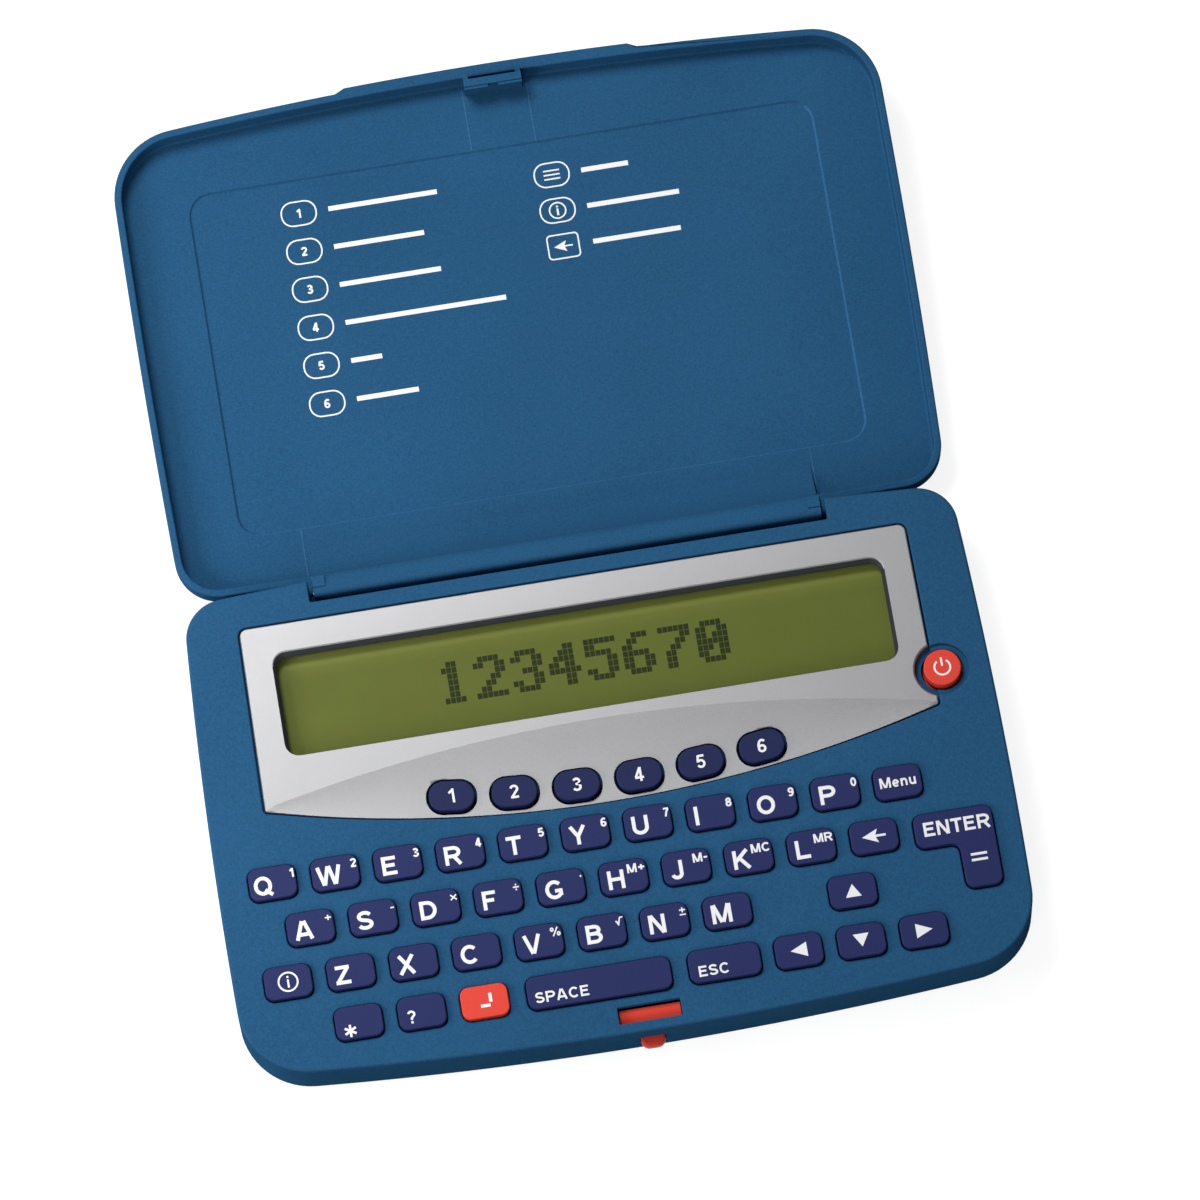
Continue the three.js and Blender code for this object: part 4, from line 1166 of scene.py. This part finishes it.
letter_size = 3.05 * MM
small_size = 1.45 * MM
letter_x = -2.6 * MM
letter_y = -1.85 * MM
small_x = 3.5 * MM
small_y = 0.4 * MM
# Words and signs on other keys: the text, its baseline's middle from the key's, its size and weight.
# The letter keys follow below, each with the small sign beside its letter.
key_words = {
    "menu": ("Menu", 0, -0.8 * MM, 1.7 * MM, 0.18),
    "star": ("*", -1.5 * MM, -2.4 * MM, 2.2 * MM, 0.17),
    "question": ("?", -1.7 * MM, -1.7 * MM, 2.1 * MM, 0.17),
}
# Words on the wide keys: the text and its distance from the key's left edge
left_words = {"space": ("SPACE", 1.5 * MM), "escape": ("ESC", 1.75 * MM)}
left_word_size = 1.75 * MM
left_word_weight = 0.18
letters = {
    "q": "1", "w": "2", "e": "3", "r": "4", "t": "5", "y": "6", "u": "7", "i": "8", "o": "9", "p": "0",
    "a": "+", "s": "-", "d": "×", "f": "÷", "g": "·", "h": "M+", "j": "M-", "k": "MC", "l": "MR",
    "z": "", "x": "", "c": "", "v": "%", "b": "√", "n": "±", "m": "",
}


def triangle(x, y, half_width, half_height, turn):
    """A pointer's corners about its middle; turned by quarter turns from pointing up."""
    corners = ((-half_width, -half_height), (half_width, -half_height), (0, half_height))
    spin = Matrix.Rotation(turn * math.pi / 2, 2)
    return [tuple(Vector((x, y)) + spin @ Vector(corner)) for corner in corners]


def swept_arrow(x, y, size):
    """The head of an arrow that points left, with its back swept in."""
    corners = ((-1.92, 0), (0.62, -1.12), (0.15, 0), (0.62, 1.12))
    return [(x + a * size * MM, y + b * size * MM) for a, b in corners]


def ringed_i(x, y, radius, line, size, height, weight=0.2):
    """The information mark: a small letter in a ring."""
    return [ink_loop(circle(x, y, radius), line, height), centred("i", x, y, size, height, weight)]


def tailed_arrow(x, y, size, tail, line, height):
    """The correction mark: a swept arrowhead that points left, with a straight tail."""
    tail_line = [(x + 0.1 * MM, y), (x + tail, y)]
    return [ink_patch(swept_arrow(x, y, size), height), ink_line(tail_line, line, height + ink_step)]


# Pointers on the arrow keys: half width, half height and quarter turns from pointing up
pointers = {
    "up": (1.25 * MM, 1.05 * MM, 0),
    "left": (1.18 * MM, 1.3 * MM, 1),
    "down": (1.25 * MM, 1.05 * MM, 2),
    "right": (1.18 * MM, 1.3 * MM, 3),
}


def key_print(name, x, y):
    """The white marks on a key whose middle is at x, y."""
    label = name.removeprefix("key_")
    top = key_top
    if label in letters:
        start = x + letter_x - (0.4 * MM if label in "qw" else 0)
        marks = [lettering(label.upper(), start, y + letter_y, letter_size, top, 0.19, align=0)]
        if letters[label]:
            weight = 0.2 if letters[label][0].isalnum() else 0.15
            small = lettering(letters[label], x + small_x, y + small_y, small_size, top, weight, align=1)
            marks.append(small)
        return marks
    if label in key_words:
        words, across, down, size, weight = key_words[label]
        return [lettering(words, x + across, y + down, size, top, weight)]
    low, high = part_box(name)
    if label in left_words:
        words, start = left_words[label]
        base = y - left_word_size
        return [lettering(words, low.x + start, base, left_word_size, top, left_word_weight, align=0)]
    if label == "enter":
        return [
            lettering("ENTER", low.x + 1.75 * MM, high.y - 4.1 * MM, 2.3 * MM, top, 0.19, align=0),
            lettering("=", high.x - 3.45 * MM, y - 3.15 * MM, 2.9 * MM, top, 0.14),
        ]
    if label == "information":
        return ringed_i(x, y, 1.5 * MM, 0.28 * MM, 1.9 * MM, top, 0.16)
    if label == "backspace":
        return tailed_arrow(x, y, 1.0, 1.85 * MM, 0.36 * MM, top)
    if label == "shift":
        bar_y = y - 0.75 * MM
        tick_x = x + 0.95 * MM
        return [
            ink_line([(x - 0.7 * MM, bar_y), (x + 0.8 * MM, bar_y)], 0.5 * MM, top),
            ink_line([(tick_x, y - 0.25 * MM), (tick_x, y + 1.2 * MM)], 0.5 * MM, top),
        ]
    return [ink_patch(triangle(x, y, *pointers[label]), top)]


plain_cap = keycap("plain_cap", key_outline("key_q"), key_outline("key_q", key_flange), key_top)
plain_middle = (key_low + key_high) / 2
for name in key_nodes:
    low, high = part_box(name)
    middle = (low + high) / 2
    if name in ("key_space", "key_escape", "key_enter"):
        cap = keycap(name + "_cap", key_outline(name), key_outline(name, key_flange), key_top)
    else:
        cap = copy_of(plain_cap, name + "_cap")
        cap.data.transform(Matrix.Translation((middle.x - plain_middle.x, middle.y - plain_middle.y, 0)))
    dress(cap, red_plastic if name == "key_shift" else navy_plastic)
    marks = key_print(name, middle.x, middle.y)
    for mark in marks:
        dress(mark, white_ink)
    cap = join([cap] + marks)
    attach(cap, name + "_body")
    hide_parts(name)
bpy.data.objects.remove(plain_cap)

# Function buttons: six oval caps that stand in the bezel along a shallow arc.
# They are moulded in a darker navy, stand lower than the keys and carry plain numbers.
oval_stand = 0.45 * MM
oval_top = bezel_high.z + oval_stand
number_size = 2.3 * MM
dark_navy_plastic = moulded(
    "dark_navy_plastic", shade(navy, 0.74), 0.45, 0.2 * MM, 0.006 * MM, mottle=0.1, sheen=0.1
)
for i, name in enumerate(oval_nodes):
    low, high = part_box(name)
    middle = (low + high) / 2
    cap = keycap(name + "_cap", key_outline(name), key_outline(name, key_flange), oval_top)
    dress(cap, dark_navy_plastic)
    mark = centred(str(i + 1), middle.x, middle.y, number_size, oval_top, 0.16)
    dress(mark, white_ink)
    cap = join([cap, mark])
    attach(cap, name + "_body")
    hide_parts(name)

# Power button: the round red cap in a dish beside the bezel, with the standby mark.
# It is moulded ABS, with a flange that holds it under the case.
power_flange = 0.15 * MM
power_x, power_y = power_middle.xy
power = disc("power_cap", power_x, power_y, power_radius, flange_top - key_flange, key_top, 64)
round_edges(power, cap_edge, 5, key_top)
flange = disc("flange", power_x, power_y, power_radius + power_flange, key_low.z, flange_top, 64)
combine(power, flange, "UNION")
smooth(power)
dress(power, red_plastic)
standby_radius = 1.25 * MM
standby_line = 0.3 * MM
standby_gap = math.radians(35)
arc_start = math.pi / 2 + standby_gap
arc_end = math.pi * 2.5 - standby_gap
bar_start, bar_end = 0.2 * MM, 1.6 * MM
standby_arc = arc((power_x, power_y), standby_radius, arc_start, arc_end, 24)
standby_bar = [(power_x, power_y + bar_start), (power_x, power_y + bar_end)]
standby = [
    ink_line(standby_arc, standby_line, key_top),
    ink_line(standby_bar, standby_line, key_top + ink_step),
]
for mark in standby:
    dress(mark, white_ink)
power = join([power] + standby)
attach(power, "power_button_body")
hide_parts("power_button")

# Latch slider: one moulding of red ABS, a plate under the slot with a push button in the front wall.
# It slides under the upper case, and a leg below it bears on the release spring.
slider_top = 7.9 * MM
slider_bottom = 6.4 * MM
slider_rear = -36.8 * MM
slider_front = -39.3 * MM
slider_half_width = 7.2 * MM
slider_edge = 0.3 * MM
slider_sink = 0.5 * MM
leg_depth = 1.3 * MM
leg_relief = 0.1 * MM
slider = box(
    "latch_slider_cap",
    slot_middle_x - slider_half_width, slot_middle_x + slider_half_width,
    slider_front, slider_rear,
    slider_bottom, slider_top,
)
round_edges(slider, slider_edge, 3, slider_top)
leg = box(
    "leg",
    push_middle_x - push_width / 2 + leg_relief, push_middle_x + push_width / 2 - leg_relief,
    slider_rear - leg_depth, slider_rear - leg_relief,
    push_low.z, slider_bottom + slider_sink,
)
combine(slider, leg, "UNION")
pad_half_width = 4.8 * MM
pad_front = -39.25 * MM
pad_rear = -36.95 * MM
pad_step_y = -38.1 * MM
pad_top = 8.9 * MM
pad_slope = 0.55 * MM
pad_profile = (
    (pad_front, slider_bottom + slider_sink),
    (pad_rear, slider_bottom + slider_sink),
    (pad_rear, pad_top),
    (pad_step_y, pad_top),
    (pad_front, pad_top - pad_slope),
)
pad = bar("pad", pad_profile, slot_middle_x - pad_half_width, slot_middle_x + pad_half_width)
combine(slider, pad, "UNION")
push_plan_corner = 1.3 * MM
push_top_edge = 0.45 * MM
push_low_edge = 0.25 * MM
push_front = push_low.y + push_clearance
push_rear = slider_rear - leg_depth / 2
push_plan = rectangle(push_middle_x, (push_front + push_rear) / 2, push_width, push_rear - push_front)
push = slab("push", rounded(push_plan, push_plan_corner, 0, 9), push_bottom, push_top)
round_edges(push, push_top_edge, 5, push_top)
round_edges(push, push_low_edge, 3, push_bottom)
combine(slider, push, "UNION")
smooth(slider)
dress(slider, red_plastic)
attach(slider, "latch_slider")
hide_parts("release_button")

# Lid: the blue cover, moulded like the case and hinged behind the display.
# Its tray has a shallow panel, a ramp down to the hinge barrel and a latch hook at the front.
# It is modelled closed and its mesh is then turned open about the hinge.
lid_rim = 10.2 * MM
lid_outside = 15.4 * MM
lid_ceiling = 13.9 * MM
inside_lid = lid_ceiling + 0.75 * MM
lid_rim_edge = 0.3 * MM
lid_wall = 1.2 * MM
lid_fillet = 2 * MM
lid_inner_fillet = 0.4 * MM
lid_shape = {
    "half_width": 62.2 * MM,
    "front": -41 * MM,
    "rear": 38.5 * MM,
    "front_arc": 644 * MM,
    "rear_arc": 6000 * MM,
    "side_arc": 1540 * MM,
    "side_middle": -12 * MM,
    "front_corner": 11.2 * MM,
    "rear_corner": 7 * MM,
}
lid_open_angle = 175
panel_half_width = 50.4 * MM
panel_half_length = 28.3 * MM
panel_corner = 3.5 * MM
panel_depth = 0.3 * MM
panel_slope = 0.3 * MM
lip_half_width = 26 * MM
lip_taper = 3 * MM
lip_proud = 0.7 * MM
lip_height = 2 * MM
barrel_radius = 2.1 * MM
bore_radius = 1.1 * MM
tongue_half_width = 40.6 * MM
tongue_web = 1.2 * MM
tongue_ramp = 6 * MM
tongue_stand = 0.2 * MM
tongue_front = 37.5 * MM
hook_left = -3.95 * MM
hook_right = 5.35 * MM
hook_rear = -37.95 * MM
hook_front = -39.15 * MM
hook_tip = 9.05 * MM
hook_rib = 0.85 * MM
rib_sink = 0.4 * MM
rib_stand = 0.1 * MM
barb_rear = -37.5 * MM
barb_gap = 1.7 * MM
barb_sink = 0.1 * MM
barb_low = 9.3 * MM
barb_high = 10 * MM
mould_line_width = 0.22 * MM
mould_line_drop = 0.05 * MM
lid = slab("lid_shell", bowed_outline(lid_shape, 0, 16), lid_rim, lid_outside)
round_edges(lid, lid_fillet, 10, lid_outside)
lip_centre = (0, lid_shape["front"] + lid_shape["front_arc"])


def lip_arc(radius, half, steps=16):
    """An arc like the lid's front edge, as long as twice a half width."""
    spread = half / radius
    return arc(lip_centre, radius, -math.pi / 2 - spread, -math.pi / 2 + spread, steps)


lip_outline = lip_arc(lid_shape["front_arc"] + lip_proud, lip_half_width - lip_taper)
lip_outline += lip_arc(lid_shape["front_arc"] - lid_wall / 2, lip_half_width)[::-1]
thumb_lip = slab("thumb_lip", lip_outline, lid_rim, lid_rim + lip_height)
combine(lid, thumb_lip, "UNION")
tray = slab("tray", bowed_outline(lid_shape, lid_wall, 16), lid_rim - overrun, lid_ceiling)
round_edges(tray, lid_inner_fillet, 6, lid_ceiling)
combine(lid, tray)
round_edges(lid, lid_rim_edge, 3, lid_rim)
panel_corners = rectangle(0, 0, 2 * panel_half_width, 2 * panel_half_length)
panel_low = rounded(panel_corners, panel_corner, panel_slope, 10)
panel = loft("panel", [
    (panel_low, lid_ceiling - overrun),
    (panel_low, lid_ceiling),
    (rounded(panel_corners, panel_corner, 0, 10), lid_ceiling + panel_depth),
])
combine(lid, panel)
web_angle = math.acos((lid_shape["rear"] - hinge_y) / barrel_radius)
lid_turn = (
    Matrix.Translation((0, hinge_y, hinge_z))
    @ Matrix.Rotation(math.radians(-lid_open_angle), 4, "X")
    @ Matrix.Translation((0, -hinge_y, -hinge_z))
)


def shut(y, z):
    """Where a point of the open lid lies with the lid closed."""
    point = lid_turn.inverted() @ Vector((0, y, z))
    return (point.y, point.z)


# The barrel is round, with a flat top and a tighter front corner as it lies with the lid open
barrel_corner = 1 * MM
barrel_face = 1.9 * MM
corner_middle = (hinge_y - barrel_face + barrel_corner, hinge_z + barrel_radius - barrel_corner)
face_angle = math.radians(lid_open_angle - 180) + math.acos(barrel_face / barrel_radius)
flat_angle = math.radians(lid_open_angle - 270)
tongue_profile = arc((hinge_y, hinge_z), barrel_radius, -math.pi, flat_angle, 14)
tongue_profile += [shut(*point) for point in arc(corner_middle, barrel_corner, math.pi / 2, math.pi, 8)]
tongue_profile += arc((hinge_y, hinge_z), barrel_radius, face_angle, web_angle, 14)
tongue_profile += [
    (lid_shape["rear"], inside_lid),
    (lid_shape["rear"] - tongue_web - tongue_ramp, inside_lid),
]
ramp_steps = 10
for i in range(ramp_steps + 1):
    share = i / ramp_steps
    tongue_profile.append((
        lid_shape["rear"] - tongue_web - tongue_ramp * (1 - share),
        lid_ceiling - (lid_ceiling - lid_rim - tongue_stand) * share ** 2,
    ))
tongue_profile.append((tongue_front, lid_rim - tongue_stand))
combine(lid, bar("tongue", tongue_profile, -tongue_half_width, tongue_half_width), "UNION")
lug_length = 2 * MM
lug_front, lug_rear = hinge_y - 0.6 * MM, hinge_y + 1.1 * MM
lug_low, lug_high = hinge_z + 1.2 * MM, hinge_z + barrel_radius + 0.25 * MM
for x in (-tongue_half_width, tongue_half_width - lug_length):
    lug = box(
        "lug",
        x, x + lug_length,
        lug_front, lug_rear,
        lug_low, lug_high,
    )
    lug.data.transform(lid_turn.inverted())
    combine(lid, lug, "UNION")
hook = box("hook", hook_left, hook_right, hook_front, hook_rear, hook_tip, inside_lid)
barb_middle = (hook_left + hook_right) / 2
for x0, x1 in ((hook_left, barb_middle - barb_gap / 2), (barb_middle + barb_gap / 2, hook_right)):
    combine(hook, box("barb", x0, x1, hook_rear - barb_sink, barb_rear, barb_low, barb_high), "UNION")
combine(lid, hook, "UNION")
front_line = (lid_shape["front"] + lid_wall / 2, -panel_half_length - 0.4 * MM)
rear_line = (panel_half_length + 0.4 * MM, lid_shape["rear"] - tongue_web - 0.3 * MM)
mould_lines = (
    (hook_left - 0.35 * MM, front_line),
    (hook_right + 0.75 * MM, front_line),
    (-tongue_half_width - 0.4 * MM, rear_line),
    (tongue_half_width + 0.4 * MM, rear_line),
)
for x, (y0, y1) in mould_lines:
    line = box(
        "mould_line",
        x - mould_line_width / 2, x + mould_line_width / 2,
        y0, y1,
        lid_ceiling - mould_line_drop, lid_ceiling + 0.5 * MM,
    )
    combine(lid, line, "UNION")
for left in (hook_left, hook_right - hook_rib):
    rib = box(
        "rib",
        left, left + hook_rib,
        lid_shape["front"] + lid_wall / 2, hook_front + rib_sink,
        lid_rim - rib_stand, inside_lid,
    )
    combine(lid, rib, "UNION")
bore = bar("bore", circle(hinge_y, hinge_z, bore_radius), -recess_half_width, recess_half_width)
combine(lid, bore)
smooth(lid)
# The paler blue is a painted highlight on the mould lines' tops and on the panel's slopes that face the
# light.
painted_highlight_blue = moulded("painted_highlight_blue", shade(blue, 1.3), 0.5, 0.34 * MM, 0.01 * MM, mottle=0.3, sheen=0.1)
dress(lid, blue_plastic, painted_highlight_blue)
for face in lid.data.polygons:
    x, y, z = face.center
    by_line = any(abs(x - line_x) < mould_line_width for line_x, reach in mould_lines)
    is_line = by_line and abs(z - lid_ceiling + mould_line_drop) < near
    in_panel = abs(x) < panel_half_width + panel_slope and abs(y) < panel_half_length + panel_slope
    on_slope = lid_ceiling + near < z < lid_ceiling + panel_depth - near
    faces_light = x > panel_half_width - panel_corner / 4 or y > panel_half_length - panel_corner / 4
    face.material_index = 1 if is_line or in_panel and on_slope and faces_light else 0
lid.data.transform(lid_turn)
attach(lid, "lid_body")
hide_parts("lid")

# Inside pieces that show only where the case is open: hinge pin, release spring, coin cell,
# its contact, the circuit board and the silicone sheet under the keys. They keep the CAD's shapes
# and are of plain steel, green board and grey silicone, but the hinge pin's steel is made dark as painted
# shade.
bright_steel = metal("bright_steel", (0.56, 0.56, 0.57), 0.3, 0.5 * MM, 0.008 * MM)
# The hinge pin's dark steel is painted shade, so that the pin shows dark in the gap by the hinge.
painted_shade_steel = metal("painted_shade_steel", (0.03, 0.06, 0.1), 0.4, 0.5 * MM, 0.008 * MM)
board_green = moulded("board_green", (0.014, 0.1, 0.037), 0.45, 0.6 * MM, 0.01 * MM, mottle=0.2)
sheet_grey = moulded("sheet_grey", (0.2, 0.215, 0.24), 0.7, 0.5 * MM, 0.01 * MM, mottle=0.1)
inside_materials = {
    "release_spring": bright_steel,
    "coin_cell": bright_steel,
    "battery_contact": bright_steel,
    "hinge_pin": painted_shade_steel,
    "circuit_board": board_green,
    "keypad_membrane": sheet_grey,
}
for name, material in inside_materials.items():
    dress(bpy.data.objects[name], material)

# Prints on the lid's panel: white outlines of the function buttons with their numbers, each beside
# a plain bar, and the same for the menu, information and correction keys.
print_line = 0.24 * MM
capsule_width = 5.6 * MM
capsule_height = 3.95 * MM
capsule_corner = 1.8 * MM
print_size = 1.5 * MM
bar_height = 0.8 * MM
bar_gap = 2.0 * MM
# Each print: the place of its outline's middle, and its bar's length
left_column = [
    ((-33.3 - 0.07 * i) * MM, (22.95 - 6.35 * i) * MM, length * MM)
    for i, length in enumerate((17.6, 14.6, 16.4, 26.0, 5.0, 10.0))
]
right_column = [
    (7.7 * MM, (22.7 - 6.0 * i) * MM, length * MM) for i, length in enumerate((7.6, 14.9, 14.2))
]


def capsule(x, y, corner=capsule_corner, width=capsule_width):
    """A printed outline of a button, with its middle at x, y as the open lid is read."""
    corners = rectangle(x, y, width, capsule_height)
    return ink_loop(rounded(corners, corner, 0, 6), print_line, 0)


prints = []
for i, (x, y, length) in enumerate(left_column):
    prints.append(capsule(x, y))
    prints.append(centred(str(i + 1), x, y, print_size, 0))
for i, (x, y, length) in enumerate(right_column):
    prints.append(capsule(x, y, 0.6 * MM, 5 * MM) if i == 2 else capsule(x, y))
x, y, length = right_column[0]
menu_reach = 1.3 * MM
menu_step = 0.7 * MM
prints += [
    ink_line([(x - menu_reach, y + row * menu_step), (x + menu_reach, y + row * menu_step)], print_line, 0)
    for row in (-1, 0, 1)
]
x, y, length = right_column[1]
prints += ringed_i(x, y, 1.3 * MM, print_line, 1.6 * MM, 0)
x, y, length = right_column[2]
prints += tailed_arrow(x, y, 0.8, 1.5 * MM, print_line, 0)
for x, y, length in left_column + right_column:
    start = x + capsule_width / 2 + bar_gap
    prints.append(ink_line([(start, y), (start + length, y)], bar_height, 0))
lid_print = join(prints)
lid_print.name = "lid_print"
dress(lid_print, white_ink)
mirror_lid = Matrix.Translation((0, 0, lid_ceiling + panel_depth)) @ Matrix.Rotation(math.pi, 4, "X")
lid_print.data.transform(lid_turn @ mirror_lid)
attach(lid_print, "lid_body")

# Floor: a plain pale table. The camera and reflections see it near white, by a glow of its own
# and the lamps' light, so that the picture's ground is white and keeps a soft shadow.
floor_size = 6
floor_drop = 0.05 * MM
floor_glow = 0.86
bpy.ops.object.select_all(action="DESELECT")
bpy.ops.mesh.primitive_plane_add(size=floor_size)
floor = bpy.context.object
floor.name = "floor"
floor.data.transform(Matrix.Translation((0, 0, -floor_drop)))
table = Finish("table_white")
table_grain = table.grain(120 * MM)
table.wear(
    Base_Color=table.blend(table_grain, (0.33, 0.33, 0.33), (0.37, 0.37, 0.37)),
    Roughness=0.9,
)
camera_ray, glossy_ray, through_ray = (
    table.node("LightPath", output=f"Is {kind} Ray") for kind in ("Camera", "Glossy", "Transmission")
)
seen = (camera_ray + glossy_ray + through_ray).kept()
glow = table.node("Emission", inputs={"Color": (1.0, 1.0, 1.0), "Strength": floor_glow})
shadowed = table.node("BsdfDiffuse", inputs={"Color": (0.36, 0.36, 0.36)})
pale = table.node("AddShader", inputs={0: glow, 1: shadowed})
lit = Value(table.tree, table.surface.outputs[0])
choice = table.node("MixShader", inputs={0: seen, 1: lit, 2: pale})
table.put(table.tree.nodes["Material Output"].inputs["Surface"], choice)
dress(floor, table.material)

# Light: a soft lamp above and behind on the left, a weak one beside the case, a weak one in front
# and an even surround.
lamp_places = (
    ("key_lamp", (-0.12, 0.25, 0.41), 0.18, 1.45),
    ("side_lamp", (-0.22, -0.02, 0.13), 0.1, 0.3),
    ("front_lamp", (-0.2, -0.5, 0.36), 0.3, 0.9),
)
lamp_target = Vector((0, 0.03, 0))
for name, place, size, watts in lamp_places:
    bpy.ops.object.light_add(type="AREA", location=place)
    lamp = bpy.context.object
    lamp.name = name
    lamp.data.energy = watts
    lamp.data.size = size
    aim = lamp_target - lamp.location
    lamp.rotation_euler = aim.to_track_quat("-Z", "Y").to_euler()
surround_strength = 0.18
surround = bpy.data.worlds.new("surround")
bpy.context.scene.world = surround
surround.use_nodes = True
surround_light = surround.node_tree.nodes["Background"]
surround_light.inputs["Color"].default_value = (1, 1, 1, 1)
surround_light.inputs["Strength"].default_value = surround_strength
bpy.context.scene.view_settings.view_transform = "Standard"
